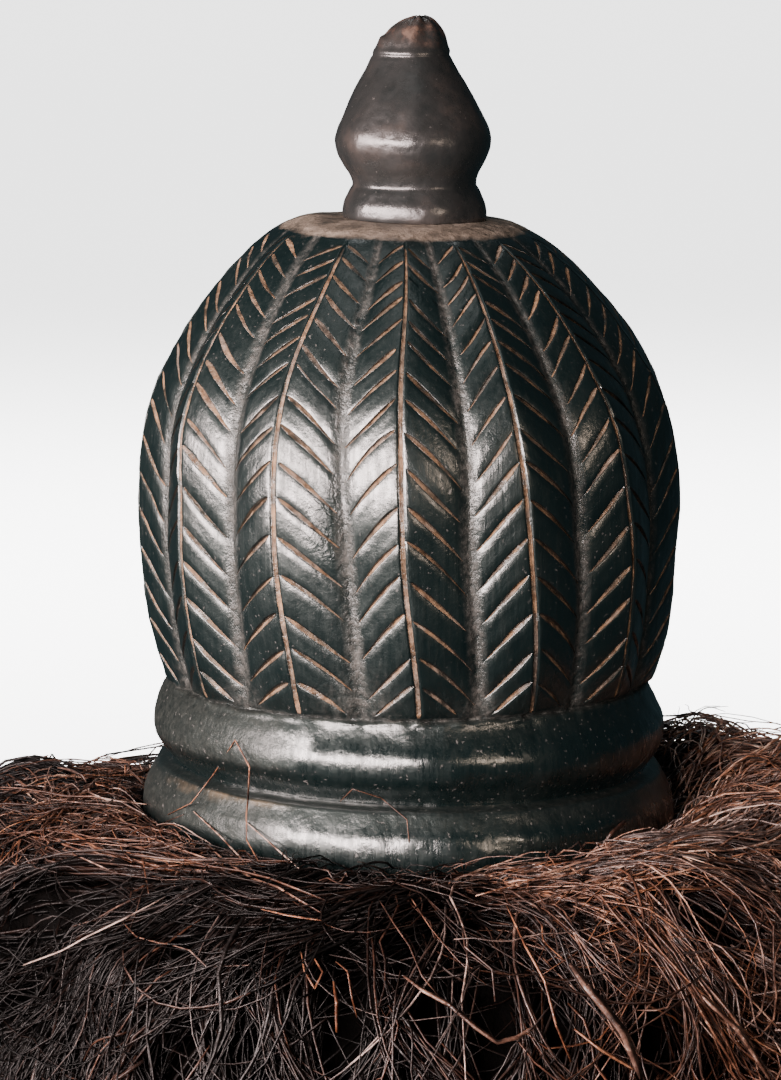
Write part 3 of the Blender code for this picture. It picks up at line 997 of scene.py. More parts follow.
def make_ruff_core(material):
    """The dense mass under the strands; its near-black colour is painted shade, for the fibre deep in the ruff."""
    seg = 260
    az = np.linspace(0, 2 * math.pi, seg, endpoint=False)
    verts, faces = [], []
    ridges = Waves(3, 0.050, 12)
    rough = Waves(3, 0.014, 12)
    k = 0
    ids = []
    for s in np.linspace(0.0, RUFF_LEN, 60):
        row = np.full(seg, s)
        base = ruff_point(az, row, np.zeros(seg))
        tufts = 0.0022 * ridges(base[:, 0], base[:, 1], base[:, 2]) + 0.0010 * rough(base[:, 0], base[:, 1], base[:, 2])
        fade = float(smooth(np.array(s / 0.030)))
        end = float(smooth(np.array((RUFF_LEN - s) / 0.030)))
        low_down = float(smooth(np.array((s - 0.060) / 0.070)))
        depth = 0.0012 + fade * (0.0115 + 0.0070 * low_down + 0.0130 * np.maximum(*HOLLOW_AT(az, row)) * end - tufts)
        ids.append(np.arange(k, k + seg)); k += seg
        verts.append(ruff_point(az, row, depth))
    for h, r in RUFF_INSIDE[1:] + ((-0.0004, 0.1190),):
        rr = np.full(seg, r) + (0.0015 * np.sin(23 * az) if h < -0.02 else 0.0)
        ids.append(np.arange(k, k + seg)); k += seg
        verts.append(np.stack([rr * np.sin(az), -rr * np.cos(az), np.full(seg, h - CEILING)], -1))
    ids.append(ids[0])
    for a, b in zip(ids, ids[1:]):
        b2 = np.roll(b, -1)
        a2 = np.roll(a, -1)
        faces.append(np.stack([a, a2, b2, b], -1))
    faces = np.concatenate(faces)
    obj = build_object("ruff_core", np.concatenate(verts), faces, "fibre_ruff", material)
    fix_normals(obj)
    return obj


def tubes(paths, radii, flat):
    """Closed three-sided tubes along paths (n, m, 3), tapering to their ends; a
    flat one is a blade, wider than it is thick. Gives vertices and faces."""
    n, m, _ = paths.shape
    tan = np.empty_like(paths)
    tan[:, 1:-1] = paths[:, 2:] - paths[:, :-2]
    tan[:, 0] = paths[:, 1] - paths[:, 0]
    tan[:, -1] = paths[:, -1] - paths[:, -2]
    tan /= np.linalg.norm(tan, axis=2, keepdims=True) + 1e-12
    # one reference for each strand, so that a tube doesn't twist
    out_dir = paths.mean(axis=1)
    out_dir[:, 2] = 0.0
    out_dir /= np.linalg.norm(out_dir, axis=1, keepdims=True) + 1e-12
    out_dir[:, 2] = 0.35
    ref = np.repeat(out_dir[:, None, :], m, axis=1)
    side = np.cross(tan, ref)
    side /= np.linalg.norm(side, axis=2, keepdims=True) + 1e-9
    up = np.cross(side, tan)
    verts = np.empty((n, m, 3, 3))
    wide = radii[..., None] * (1.0 + flat)[:, None, None]
    thin = radii[..., None] / (1.0 + 0.35 * flat)[:, None, None]
    for k in range(3):
        a = 2 * math.pi * k / 3 + 0.5
        verts[:, :, k] = paths + math.cos(a) * up * thin + math.sin(a) * side * wide
    base = (np.arange(n) * m * 3)[:, None, None, None] + (np.arange(m - 1) * 3)[None, :, None, None]
    k0 = np.arange(3)[None, None, :, None]
    k1 = (np.arange(3)[None, None, :, None] + 1) % 3
    quads = np.concatenate([base + k0, base + k1, base + 3 + k1, base + 3 + k0], axis=3).reshape(-1, 4)
    start = (np.arange(n) * m * 3)[:, None]
    end = start + (m - 1) * 3
    caps = np.concatenate([start + np.array([[2, 1, 0]]), end + np.array([[0, 1, 2]])], axis=0)
    return verts.reshape(-1, 3), quads, caps


def add_strands(name, paths, radii, tone, warm, flat, material):
    n, m, _ = paths.shape
    verts, quads, caps = tubes(paths, radii, flat)
    faces = [*quads, *caps]
    attributes = {"tone": np.repeat(tone, m * 3), "warm": np.repeat(warm, m * 3)}
    return build_object(name, verts, faces, "fibre_ruff", material, attributes)


def flow_angle(azimuth, s):
    """Lie of the fibre: its angle from straight down, + toward +azimuth. It
    parts in front and sweeps to both sides."""
    a = (azimuth - 0.10 + math.pi) % (2 * math.pi) - math.pi
    return 0.52 * np.sin(np.clip(1.5 * a, -math.pi, math.pi)) * smooth(s / 0.055)


def radius_at(s):
    return np.maximum(np.interp(s, RUFF_T["s"], RUFF_T["r"]), 0.10)


LUMPS = Waves(3, 0.060, 16)


def lock_paths(locks, start, length, lean, bend, steps=36):
    """Courses of the locks over the ruff: azimuth, arc length and lie."""
    a = rng.uniform(-math.pi, math.pi, locks * 3)
    a = a[rng.random(len(a)) < 0.60 + 0.40 * np.cos(a)][:locks]
    n = len(a)
    s = rng.uniform(start[0], start[1], n)
    long = rng.uniform(length[0], length[1], n)
    dev, curl, walk = rng.normal(0.0, lean, n), rng.normal(0.0, bend, n), np.zeros(n)
    rows = []
    for j in range(steps):
        lie = flow_angle(a, s) + dev + curl * j / (steps - 1) + walk
        rows.append((a, s, lie))
        walk = walk * 0.93 + rng.normal(0.0, 0.05, n)
        step = long / (steps - 1)
        s = np.abs(s + step * np.cos(lie))
        a = a + step * np.sin(lie) / radius_at(s)
    a, s, lie = (np.stack([row[i] for row in rows], 1) for i in range(3))
    return a, s, lie, long


def strand_field(count, locks, length, depth, start, radius, m, lean, bend, stray, curl, spread, flat, culled, deeper, tone_up):
    """Strands that run along their lock, side by side, and stray a little."""
    la, ls, lie, long = lock_paths(locks, start, length, lean, bend)
    locks, steps = la.shape
    deep = rng.uniform(depth[0], depth[1], locks)
    tone_of = rng.gamma(1.1, 0.092, locks)
    warm_of = rng.normal(0.0, 0.22, locks)
    wide_of = spread * rng.uniform(0.5, 1.6, locks)
    pinch_of = rng.normal(0.0, 0.45, locks)

    raw = int(count * 2.2)
    k = rng.integers(0, locks, raw)
    first = rng.uniform(0.0, 0.35, raw)
    last = np.minimum(1.0, first + rng.uniform(0.40, 1.0, raw))
    t = np.linspace(0.0, 1.0, m)[None, :]
    u = first[:, None] + (last - first)[:, None] * t
    at = u * (steps - 1)
    i0 = np.minimum(at.astype(int), steps - 2)
    f = at - i0
    azs, ss, psi = (table[k[:, None], i0] * (1.0 - f) + table[k[:, None], i0 + 1] * f for table in (la, ls, lie))
    off = rng.normal(0.0, 1.0, raw)
    run = long[k][:, None] * (u - first[:, None])
    side = (off * wide_of[k])[:, None] * (1.0 + pinch_of[k][:, None] * u)
    side = side + rng.normal(0.0, stray, (raw, 1)) * run
    side = side + rng.normal(0.0, curl, (raw, 1)) * np.where(rng.random((raw, 1)) < 0.10, 2.2, 1.0) * run**2
    side = side + rng.normal(0.0, 0.0016, (raw, 1)) * np.sin(2.0 * math.pi * run / rng.uniform(0.025, 0.08, (raw, 1)) + rng.uniform(0.0, 6.3, (raw, 1)))
    # each strand has two sharp bends
    for _ in range(2):
        past = np.maximum(0.0, run - (rng.uniform(0.10, 0.95, raw) * long[k] * (last - first))[:, None])
        side = side + rng.normal(0.0, 0.05 + 0.7 * stray, (raw, 1)) * past
    azs = azs + side * np.cos(psi) / radius_at(ss)
    ss = np.abs(ss - side * np.sin(psi))
    # ends hang raggedly at the hem
    limit = RUFF_LEN - 0.012 - rng.gamma(1.5, 0.010, raw)
    top = ss.max(axis=1)
    squeeze = np.where(top > limit, (np.maximum(limit, ss[:, 0] + 0.01) - ss[:, 0]) / (top - ss[:, 0] + 1e-9), 1.0)
    ss = np.clip(ss[:, :1] + (ss - ss[:, :1]) * squeeze[:, None], 0.0, RUFF_LEN)

    loose, placed = HOLLOW_AT(azs, ss)
    hole = np.maximum(placed.max(axis=1), np.minimum(1.0, 1.6 * loose.mean(axis=1)))
    keep = np.where(rng.random(raw) > culled * hole)[0][:count]
    azs, ss, k, hole, off = azs[keep], ss[keep], k[keep], hole[keep], off[keep]
    n = len(keep)
    d = deep[k][:, None] + 0.0017 * np.minimum(off**2, 4.0)[:, None] + rng.normal(0.0, 0.0011, (n, 1))
    d = d + rng.normal(0.0, 0.0016, (n, 1)) * np.sin(math.pi * t * rng.uniform(0.7, 2.5, (n, 1)) + rng.uniform(0.0, 6.3, (n, 1)))
    d = d + deeper * hole[:, None] + 0.0022 * (1.0 - smooth(t / 0.10))       # roots are tucked in
    p = ruff_point(azs, ss, np.zeros_like(ss))
    d = d - 0.0026 * LUMPS(p[..., 0], p[..., 1], p[..., 2]) * smooth(ss / 0.06)
    d = np.maximum(d, -0.0095)
    d = d * (0.25 + 0.75 * smooth(ss / 0.02))
    pts = ruff_point(azs, ss, d)
    r = rng.uniform(radius[0], radius[1], (n, 1)) * (1.0 - 0.6 * t**2) * (0.6 + 0.4 * np.minimum(1.0, 8.0 * t + 0.2))
    # lighter and redder toward +X and, high up, toward -X; darkest low in front
    middle = m // 2
    sine, arc = np.sin(azs[:, middle]), ss[:, middle]
    right = smooth((sine - 0.02) / 0.45)
    left_high = smooth((-sine - 0.40) / 0.35) * (1.0 - smooth((arc - 0.045) / 0.040))
    right_high = right * (1.0 - smooth((arc - 0.07) / 0.06))
    low = smooth((arc - 0.09) / 0.05) * (1.0 - right)
    place = -0.16 + 0.14 * smooth((sine + 0.30) / 0.35) + 0.32 * right + 0.04 * right_high + 0.41 * left_high - 0.070 * low + 0.03 * smooth((sine - 0.05) / 0.10) * (1.0 - right)
    # painted shade: strands lying deeper under the ruff's surface are darkened
    under = np.clip((d[:, middle] + 0.001) / 0.014, 0.0, 1.0)
    tone = tone_up + tone_of[k] + np.abs(rng.normal(0.0, 0.12, n)) + place
    tone = tone * (1.0 - 0.80 * under) + (rng.random(n) < 0.06) * rng.uniform(0.12, 0.40, n) * (1.0 - 0.8 * under)
    tone = tone - 0.45 * np.maximum(0.0, tone - 0.34) * (1.0 - right) * (1.0 - left_high)
    warm = 0.12 + warm_of[k] + rng.normal(0.0, 0.20, n) + 0.34 * right + 0.34 * left_high + (rng.random(n) < 0.08) * 0.6
    blade = (rng.random(n) < 0.5 * flat) * rng.uniform(0.6, 1.0 + 2.0 * flat, n)
    return pts, r, np.clip(tone, 0, 1), np.clip(warm, 0, 1), blade


# Single strands that stand out, from the frame: how far they stand off what is
# behind them in mm, radius in mm, tone, warmth, flatness, and their bends.
STRAYS = (
    (5.0, 0.42, 0.62, 0.90, 0.0, ((165, 815), (190, 803), (210, 778), (234, 740), (248, 768), (246, 800), (244, 815), (247, 840), (262, 862))),
    (4.0, 0.42, 0.95, 0.45, 0.0, ((193, 812), (222, 838), (255, 870))),
    (4.0, 0.42, 1.00, 0.35, 0.0, ((245, 822), (272, 845), (300, 867))),
    (3.0, 0.28, 0.52, 0.85, 0.0, ((340, 802), (352, 788), (380, 798), (405, 818), (410, 842))),
    (4.0, 0.45, 0.82, 0.60, 0.0, ((448, 880), (487, 867), (535, 867))),
    (4.0, 0.45, 0.72, 0.75, 0.0, ((478, 893), (510, 883), (570, 865), (581, 872))),
    (6.0, 0.50, 0.90, 0.55, 0.0, ((652, 852), (664, 832), (700, 810), (735, 796))),
    (5.0, 0.50, 0.50, 0.30, 0.0, ((570, 861), (585, 846), (600, 847), (622, 858))),
    (6.0, 0.70, 0.40, 0.50, 0.6, ((598, 852), (612, 836), (627, 821))),
    (7.0, 0.60, 0.92, 0.12, 0.0, ((20, 965), (60, 950), (84, 936), (125, 915), (166, 895))),
    (5.0, 0.45, 0.60, 0.30, 0.0, ((168, 942), (187, 947), (204, 964), (250, 963))),
    (5.0, 0.42, 0.52, 0.80, 0.0, ((122, 920), (135, 936), (158, 942), (180, 945))),
    (5.0, 0.55, 0.60, 0.95, 0.0, ((262, 908), (282, 913), (301, 917), (326, 921))),
    (6.0, 0.50, 0.60, 0.95, 0.0, ((302, 953), (306, 972), (312, 988), (320, 972), (315, 955))),
    (5.0, 0.60, 0.58, 1.00, 0.5, ((336, 980), (338, 1003), (337, 1032))),
    (6.0, 0.50, 0.52, 0.90, 0.0, ((336, 960), (348, 973), (354, 1000), (360, 1018))),
    (8.0, 0.85, 0.58, 0.45, 0.5, ((403, 976), (425, 991), (449, 1005), (474, 1028), (495, 1043), (520, 1036), (538, 1026))),
    (6.0, 0.50, 0.42, 0.55, 0.0, ((380, 896), (391, 918), (408, 944), (420, 975), (440, 1000))),
    (6.0, 0.55, 0.50, 0.40, 0.0, ((463, 925), (467, 946), (492, 969), (497, 1000))),
    (6.0, 0.60, 0.58, 0.95, 0.3, ((509, 903), (525, 949), (541, 982), (558, 1023), (572, 1060))),
    (6.0, 0.50, 0.62, 0.95, 0.0, ((542, 925), (546, 939), (561, 959))),
    (6.0, 0.70, 0.66, 0.95, 0.4, ((574, 1028), (605, 1048), (637, 1068))),
    (6.0, 0.55, 0.70, 0.70, 0.0, ((716, 950), (734, 975), (750, 995), (780, 1027))),
    (6.0, 0.50, 0.72, 0.65, 0.0, ((574, 903), (605, 921), (638, 941))),
    (6.0, 0.55, 0.62, 0.90, 0.0, ((605, 898), (648, 913), (680, 929))),
    (7.0, 1.10, 0.50, 0.35, 1.3, ((572, 965), (588, 985), (605, 1003), (625, 1033), (641, 1079))),
    (7.0, 0.80, 0.66, 0.45, 1.0, ((690, 985), (712, 1008), (737, 1033), (770, 1078))),
    (6.0, 0.60, 0.60, 0.60, 0.6, ((700, 978), (730, 1012), (757, 1050))),
    (4.0, 0.50, 0.78, 0.55, 0.0, ((0, 813), (51, 799), (97, 797), (143, 805))),
    (4.0, 0.45, 0.66, 0.75, 0.0, ((0, 822), (64, 806), (120, 806))),
    (5.0, 0.50, 0.55, 0.95, 0.0, ((0, 860), (24, 832), (60, 839), (104, 845))),
    (5.0, 0.45, 0.42, 0.80, 0.0, ((142, 822), (144, 850), (148, 892))),
    (5.0, 0.45, 0.50, 0.80, 0.0, ((140, 830), (172, 864), (212, 858))),
    (5.0, 0.40, 0.48, 0.30, 0.0, ((135, 835), (160, 825), (183, 815))),
    (5.0, 0.50, 0.80, 0.50, 0.0, ((700, 838), (720, 800), (746, 760), (781, 752))),
    (5.0, 0.50, 0.66, 0.80, 0.0, ((676, 848), (690, 812), (712, 776), (722, 768))),
    (5.0, 0.45, 0.58, 0.85, 0.0, ((735, 812), (752, 790), (781, 800))),
)


def add_strays(material):
    m = 18
    paths, radii, tone, warm, flat = [], [], [], [], []
    for off, r, tn, wm, fl, bends in STRAYS:
        pts = []
        last = len(bends) - 1
        for i, (x, y) in enumerate(bends):
            p, _ = at_photo(x, y)
            eye = np.array([CAM_X, -CAM_BACK, CAM_H - CEILING]) - p
            eye /= np.linalg.norm(eye)
            pts.append(p + eye * (0.001 * off if 0 < i < last else 0.0005))
        pts = np.array(pts)
        # even steps along the bends, with the bends kept crisp
        seg = np.concatenate([[0.0], np.cumsum(np.linalg.norm(np.diff(pts, axis=0), axis=1))])
        even = np.linspace(0.0, seg[-1], m - max(0, last - 1))
        t = np.unique(np.concatenate([even, seg[1:-1]]))
        while len(t) < m:
            gaps = np.diff(t)
            k = int(np.argmax(gaps))
            t = np.insert(t, k + 1, 0.5 * (t[k] + t[k + 1]))
        t = t[:m - 1].tolist() + [seg[-1]] if len(t) > m else t
        path = np.stack([np.interp(t, seg, pts[:, i]) for i in range(3)], -1)
        bow = rng.normal(0, 0.0006, (1, 3)) * np.sin(np.linspace(0, math.pi, m))[:, None]
        paths.append(path + bow)
        radii.append(0.001 * r * (1.0 - 0.35 * np.abs(np.linspace(-1, 1, m)) ** 3))
        tone.append(tn); warm.append(wm); flat.append(fl)
    return add_strands("ruff_strays", np.array(paths), np.array(radii), np.array(tone), np.array(warm), np.array(flat), material)


# ======================================================================
# materials
# ======================================================================
def carved_wood():
    n = Nodes("black_carved_wood_polished")
    cut = n.attribute("cut")
    wall = n.attribute("wall")
    rib = n.attribute("rib")
    valley = n.attribute("valley")
    zone = n.attribute("zone")
    chip = n.attribute("chip")
    edge = n.attribute("edge")
    big = n.noise(14.0, 5.0, 0.6)
    mid = n.noise(60.0, 6.0, 0.62)
    small = n.noise(340.0, 4.0, 0.6)
    grit = n.noise(620.0, 4.0, 0.7)
    streak = n.noise(1.0, 5.0, 0.65, vector=n.coords(scale=(420.0, 420.0, 16.0)))
    broad = n.noise(1.0, 4.0, 0.6, vector=n.coords(scale=(110.0, 110.0, 9.0)))
    # the two rings
    rings = n.math("MULTIPLY", n.remap(zone, -0.55, -0.90), n.remap(zone, -1.8, -1.3))

    # stained and polished wood: near black with a cool green tint
    black = n.ramp(n.math("ADD", n.math("MULTIPLY", big, 0.6), n.math("MULTIPLY", mid, 0.4)), [
        (0.30, (0.0008, 0.0030, 0.0032)), (0.50, (0.0018, 0.0048, 0.0049)), (0.68, (0.0046, 0.0076, 0.0076)), (0.85, (0.0086, 0.0106, 0.0102)),
    ])
    # bare wood in the cuts: tan, ochre, peach and grey from place to place
    hue = n.noise(34.0, 3.0, 0.6)
    tan = n.ramp(hue, [
        (0.34, (0.0560, 0.0460, 0.0370)), (0.44, (0.1700, 0.1150, 0.0740)), (0.52, (0.2600, 0.1580, 0.0880)), (0.60, (0.2300, 0.1700, 0.1280)), (0.70, (0.0950, 0.0800, 0.0680)),
    ])
    bare = n.mix(n.remap(n.noise(230.0, 5.0, 0.7), 0.36, 0.60), n.mix(1.0, tan, (0.30, 0.25, 0.22), "MULTIPLY"), tan)
    dust = n.ramp(n.math("ADD", n.math("MULTIPLY", small, 0.6), n.math("MULTIPLY", grit, 0.4)), [(0.36, (0.0085, 0.0090, 0.0084)), (0.50, (0.0330, 0.0320, 0.0295)), (0.66, (0.0860, 0.0810, 0.0740))])

    cut_any = n.math("MAXIMUM", cut, n.math("MULTIPLY", rib, n.remap(mid, 0.38, 0.60, 0.62, 0.88)))
    cut_edge = n.remap(n.math("ADD", cut_any, n.math("MULTIPLY", n.math("SUBTRACT", small, 0.5), 0.40)), 0.36, 0.56)
    worn_cut = n.math("MULTIPLY", cut_edge, n.remap(n.noise(110.0, 5.0, 0.68), 0.36, 0.54, 0.18, 1.0))
    dust_mask = n.math("MULTIPLY", valley, n.remap(n.math("ADD", n.math("MULTIPLY", n.noise(52.0, 7.0, 0.72), 0.7), n.math("MULTIPLY", small, 0.3)), 0.36, 0.58), clamp=True)
    dust_mask = n.math("MAXIMUM", n.math("MULTIPLY", dust_mask, 0.90), n.math("MULTIPLY", n.math("MULTIPLY", valley, rings), 0.94))
    # the top, rubbed to a brown grey
    top = n.remap(n.math("ADD", zone, n.math("MULTIPLY", n.math("SUBTRACT", mid, 0.5), 0.9)), 0.36, 0.74)
    top_col = n.ramp(n.noise(75.0, 6.0, 0.68), [(0.30, (0.0300, 0.0240, 0.0190)), (0.50, (0.1550, 0.1220, 0.0940)), (0.72, (0.3300, 0.2700, 0.2200))])
    top_mask = n.math("MULTIPLY", top, n.remap(n.noise(34.0, 6.0, 0.65), 0.30, 0.52, 0.55, 1.0))
    # specks of dust
    specks = n.remap(n.noise(560.0, 2.0, 0.5), 0.67, 0.73)
    specks = n.math("MULTIPLY", specks, n.math("MAXIMUM", n.remap(big, 0.40, 0.60, 0.10, 0.8), n.math("MULTIPLY", rings, 0.75)))
    # thin grey film over worn places
    film = n.math("MULTIPLY", n.remap(n.math("ADD", n.math("MULTIPLY", streak, 0.6), n.math("MULTIPLY", mid, 0.4)), 0.52, 0.72), 0.40)
    # hollow: bare brown wood
    inside = n.remap(zone, -1.3, -1.8)
    inside_col = n.ramp(streak, [(0.30, (0.050, 0.034, 0.024)), (0.70, (0.130, 0.088, 0.060))])

    col = n.mix(film, black, (0.0120, 0.0150, 0.0146))
    dust = n.mix(rings, dust, n.mix(1.0, dust, (0.27, 0.30, 0.29), "MULTIPLY"))
    col = n.mix(dust_mask, col, dust)
    col = n.mix(specks, col, (0.090, 0.087, 0.083))
    col = n.mix(top_mask, col, top_col)
    col = n.mix(worn_cut, col, bare)
    # painted shade: the steep upper wall of each cut, darkened toward black
    col = n.mix(n.math("MULTIPLY", wall, 0.85), col, (0.0030, 0.0024, 0.0020))
    # painted highlight: an ochre line along the lower ring's upper edge on the left
    col = n.mix(n.math("MULTIPLY", edge, n.remap(mid, 0.38, 0.52)), col, (0.110, 0.078, 0.046))
    col = n.mix(inside, col, inside_col)
    n.put(n.shader.inputs["Base Color"], col)

    patch = n.math("ADD", n.math("MULTIPLY", mid, 0.35), n.math("MULTIPLY", streak, 0.65))
    rough = n.remap(patch, 0.35, 0.65, 0.31, 0.46)
    rough = n.math("SUBTRACT", rough, n.math("MULTIPLY", rings, 0.10))
    matt = n.math("MAXIMUM", n.math("MAXIMUM", dust_mask, worn_cut), n.math("MAXIMUM", top_mask, inside))
    matt = n.math("MAXIMUM", matt, n.math("MULTIPLY", chip, 0.8))
    rough = n.math("ADD", rough, n.math("MULTIPLY", matt, 0.36), clamp=True)
    n.put(n.shader.inputs["Roughness"], rough)
    n.shader.inputs["IOR"].default_value = 1.5
    n.shader.inputs["Specular IOR Level"].default_value = 0.33
    n.shader.inputs["Specular Tint"].default_value = (0.76, 0.97, 0.92, 1.0)
    # the polish: gone where the wood is matt
    n.put(n.shader.inputs["Coat Weight"], n.math("MULTIPLY", n.math("SUBTRACT", 1.0, matt, clamp=True), n.remap(patch, 0.42, 0.60, 1.0, 0.40)))
    n.put(n.shader.inputs["Coat Roughness"], n.math("SUBTRACT", n.remap(streak, 0.35, 0.65, 0.18, 0.28), n.math("MULTIPLY", rings, 0.04)))
    n.shader.inputs["Coat IOR"].default_value = 1.72

    h1 = n.bump(n.math("ADD", n.math("MULTIPLY", mid, 0.5), n.math("MULTIPLY", big, 0.5)), 0.0012, 0.34)
    h2 = n.bump(n.math("ADD", n.math("MULTIPLY", streak, 0.50), broad), 0.00042, 0.60, h1)
    h3 = n.bump(n.math("MULTIPLY", n.math("ADD", small, n.math("MULTIPLY", grit, 0.6)), n.math("ADD", n.math("MULTIPLY", n.math("MULTIPLY", matt, 1.15), n.math("SUBTRACT", 1.0, n.math("MULTIPLY", rings, 0.60))), 0.34)), 0.0005, 0.80, h2)
    chips = n.noise(240.0, 3.0, 0.6, distortion=0.8)
    h4 = n.bump(n.math("MULTIPLY", chips, chip), 0.0016, 0.9, h3)
    n.put(n.shader.inputs["Normal"], h4)
    n.put(n.shader.inputs["Coat Normal"], h4)
    return n.material


def turned_wood():
    n = Nodes("black_turned_wood_satin")
    worn = n.attribute("worn")
    big = n.noise(32.0, 5.0, 0.6)
    mid = n.noise(120.0, 6.0, 0.62)
    small = n.noise(520.0, 3.0, 0.6)
    black = n.ramp(big, [(0.30, (0.0076, 0.0098, 0.0098)), (0.52, (0.0165, 0.0168, 0.0162)), (0.75, (0.0430, 0.0350, 0.0305))])
    bare = n.ramp(mid, [(0.30, (0.0140, 0.0095, 0.0075)), (0.50, (0.0460, 0.0250, 0.0180)), (0.72, (0.1200, 0.0740, 0.0500))])
    mask = n.math("MULTIPLY", n.remap(worn, 0.30, 1.0), n.remap(mid, 0.42, 0.58, 0.0, 0.9))
    # painted shade: the deeper rings of the hollow in the broken tip go near black
    deep = n.remap(worn, 1.05, 1.4)
    col = n.mix(mask, black, bare)
    col = n.mix(deep, col, (0.0020, 0.0015, 0.0015))
    specks = n.math("MULTIPLY", n.remap(n.noise(600.0, 2.0, 0.5), 0.71, 0.77), 0.5)
    col = n.mix(specks, col, (0.085, 0.080, 0.076))
    n.put(n.shader.inputs["Base Color"], col)
    rough = n.remap(mid, 0.35, 0.65, 0.23, 0.34)
    n.put(n.shader.inputs["Roughness"], n.math("ADD", rough, n.math("MULTIPLY", mask, 0.3), clamp=True))
    n.shader.inputs["Specular IOR Level"].default_value = 0.65
    h1 = n.bump(big, 0.0012, 0.35)
    h2 = n.bump(mid, 0.0006, 0.45, h1)
    n.put(n.shader.inputs["Normal"], n.bump(small, 0.0002, 0.4, h2))
    return n.material


def fibre():
    n = Nodes("plant_fibre_strands")
    tone = n.attribute("tone")
    warm = n.attribute("warm")
    vary = n.noise(105.0, 5.0, 0.70)
    fleck = n.noise(430.0, 3.0, 0.60)
    # each strand is lighter and darker along its length, with pale flecks that are painted highlights, standing in for
    # glints
    t = n.math("MULTIPLY", tone, n.remap(vary, 0.36, 0.64, 0.52, 1.42))
    t = n.math("ADD", t, n.math("MULTIPLY", n.math("MULTIPLY", tone, 1.2), n.remap(fleck, 0.60, 0.72, 0.0, 0.55)), clamp=True)
    cold = n.ramp(t, [(0.0, (0.0006, 0.0005, 0.0005)), (0.20, (0.0062, 0.0046, 0.0042)), (0.50, (0.0300, 0.0205, 0.0178)), (0.80, (0.1250, 0.0920, 0.0800)), (1.0, (0.330, 0.255, 0.225))])
    hot = n.ramp(t, [(0.0, (0.0010, 0.0005, 0.0004)), (0.20, (0.0120, 0.0046, 0.0026)), (0.50, (0.0700, 0.0245, 0.0105)), (0.80, (0.2300, 0.1000, 0.0500)), (1.0, (0.420, 0.270, 0.185))])
    n.put(n.shader.inputs["Base Color"], n.mix(warm, cold, hot))
    n.put(n.shader.inputs["Roughness"], n.remap(fleck, 0.35, 0.65, 0.26, 0.58))
    n.put(n.shader.inputs["Specular IOR Level"], n.remap(tone, 0.0, 0.45, 0.14, 0.42))
    n.put(n.shader.inputs["Normal"], n.bump(fleck, 0.0007, 0.7))
    return n.material


def fibre_mass():
    n = Nodes("plant_fibre_mass_painted_shade")
    hair = n.noise(1.0, 5.0, 0.65, vector=n.coords(scale=(170.0, 170.0, 26.0)), distortion=0.6)
    hair2 = n.noise(420.0, 4.0, 0.6)
    # painted shade: the near-black colour of the fibre deep in the ruff
    col = n.ramp(hair, [(0.30, (0.0003, 0.0002, 0.0002)), (0.55, (0.0007, 0.0005, 0.0004)), (0.72, (0.0024, 0.0014, 0.0011)), (0.90, (0.0060, 0.0036, 0.0026))])
    n.put(n.shader.inputs["Base Color"], col)
    n.shader.inputs["Roughness"].default_value = 0.85
    n.shader.inputs["Specular IOR Level"].default_value = 0.05
    h1 = n.bump(hair, 0.0030, 0.9)
    n.put(n.shader.inputs["Normal"], n.bump(hair2, 0.0008, 0.6, h1))
    return n.material


# ======================================================================
# build
# ======================================================================
wood = carved_wood()
knob = turned_wood()
strands_mat = fibre()
mass_mat = fibre_mass()

make_crown(wood)
make_finial(knob)
make_ruff_core(mass_mat)

LAYERS = (
    # name           count locks length         depth             start            radius              m   lean  bend  stray curl  spread  flat  culled deeper tone
    ("ruff_under", 2200, 200, (0.10, 0.22), (0.0090, 0.0170), (0.000, 0.130), (0.00050, 0.00100), 7, 0.35, 0.50, 0.20, 2.5, 0.0120, 0.10, 0.97, 0.006, -0.02),
    ("ruff_middle", 2600, 140, (0.12, 0.25), (0.0040, 0.0125), (0.000, 0.100), (0.00046, 0.00090), 10, 0.34, 0.60, 0.15, 1.8, 0.0085, 0.10, 1.00, 0.004, 0.04),
    ("ruff_over", 2450, 105, (0.14, 0.28), (-0.0010, 0.0080), (0.000, 0.075), (0.00042, 0.00082), 12, 0.32, 0.60, 0.10, 1.5, 0.0062, 0.08, 1.00, 0.000, 0.06),
    ("ruff_locks", 1500, 80, (0.10, 0.24), (-0.0035, 0.0040), (0.000, 0.140), (0.00040, 0.00078), 12, 0.48, 0.80, 0.09, 1.8, 0.0048, 0.08, 1.00, 0.000, 0.07),
    ("ruff_tangle", 3400, 1500, (0.04, 0.12), (-0.0025, 0.0110), (0.004, 0.250), (0.00034, 0.00066), 8, 1.00, 1.00, 0.45, 3.8, 0.0080, 0.08, 0.94, 0.000, 0.06),
    ("ruff_loose", 780, 480, (0.07, 0.20), (-0.0055, 0.0010), (0.004, 0.180), (0.00038, 0.00066), 12, 0.70, 1.00, 0.25, 3.2, 0.0060, 0.08, 0.92, 0.000, 0.12),
    ("ruff_edge", 480, 460, (0.016, 0.060), (-0.0085, 0.0010), (0.000, 0.030), (0.00028, 0.00050), 8, 1.10, 1.50, 0.50, 10.0, 0.0040, 0.05, 0.00, 0.000, 0.05),
)
for name, *settings in LAYERS:
    add_strands(name, *strand_field(*settings), strands_mat)
add_strays(strands_mat)


# ======================================================================
# stage and light
# ======================================================================
low = min(o[2] for o in (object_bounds()[0], cad_box[0]))
FLOOR_R, SWEEP_R, WALL_H = 7.4, 1.2, 4.6
wall_curve = [(FLOOR_R + math.sin(t) * SWEEP_R, SWEEP_R - math.cos(t) * SWEEP_R) for t in np.linspace(0.0, math.pi / 2, 12)] + [(FLOOR_R + SWEEP_R, WALL_H)]


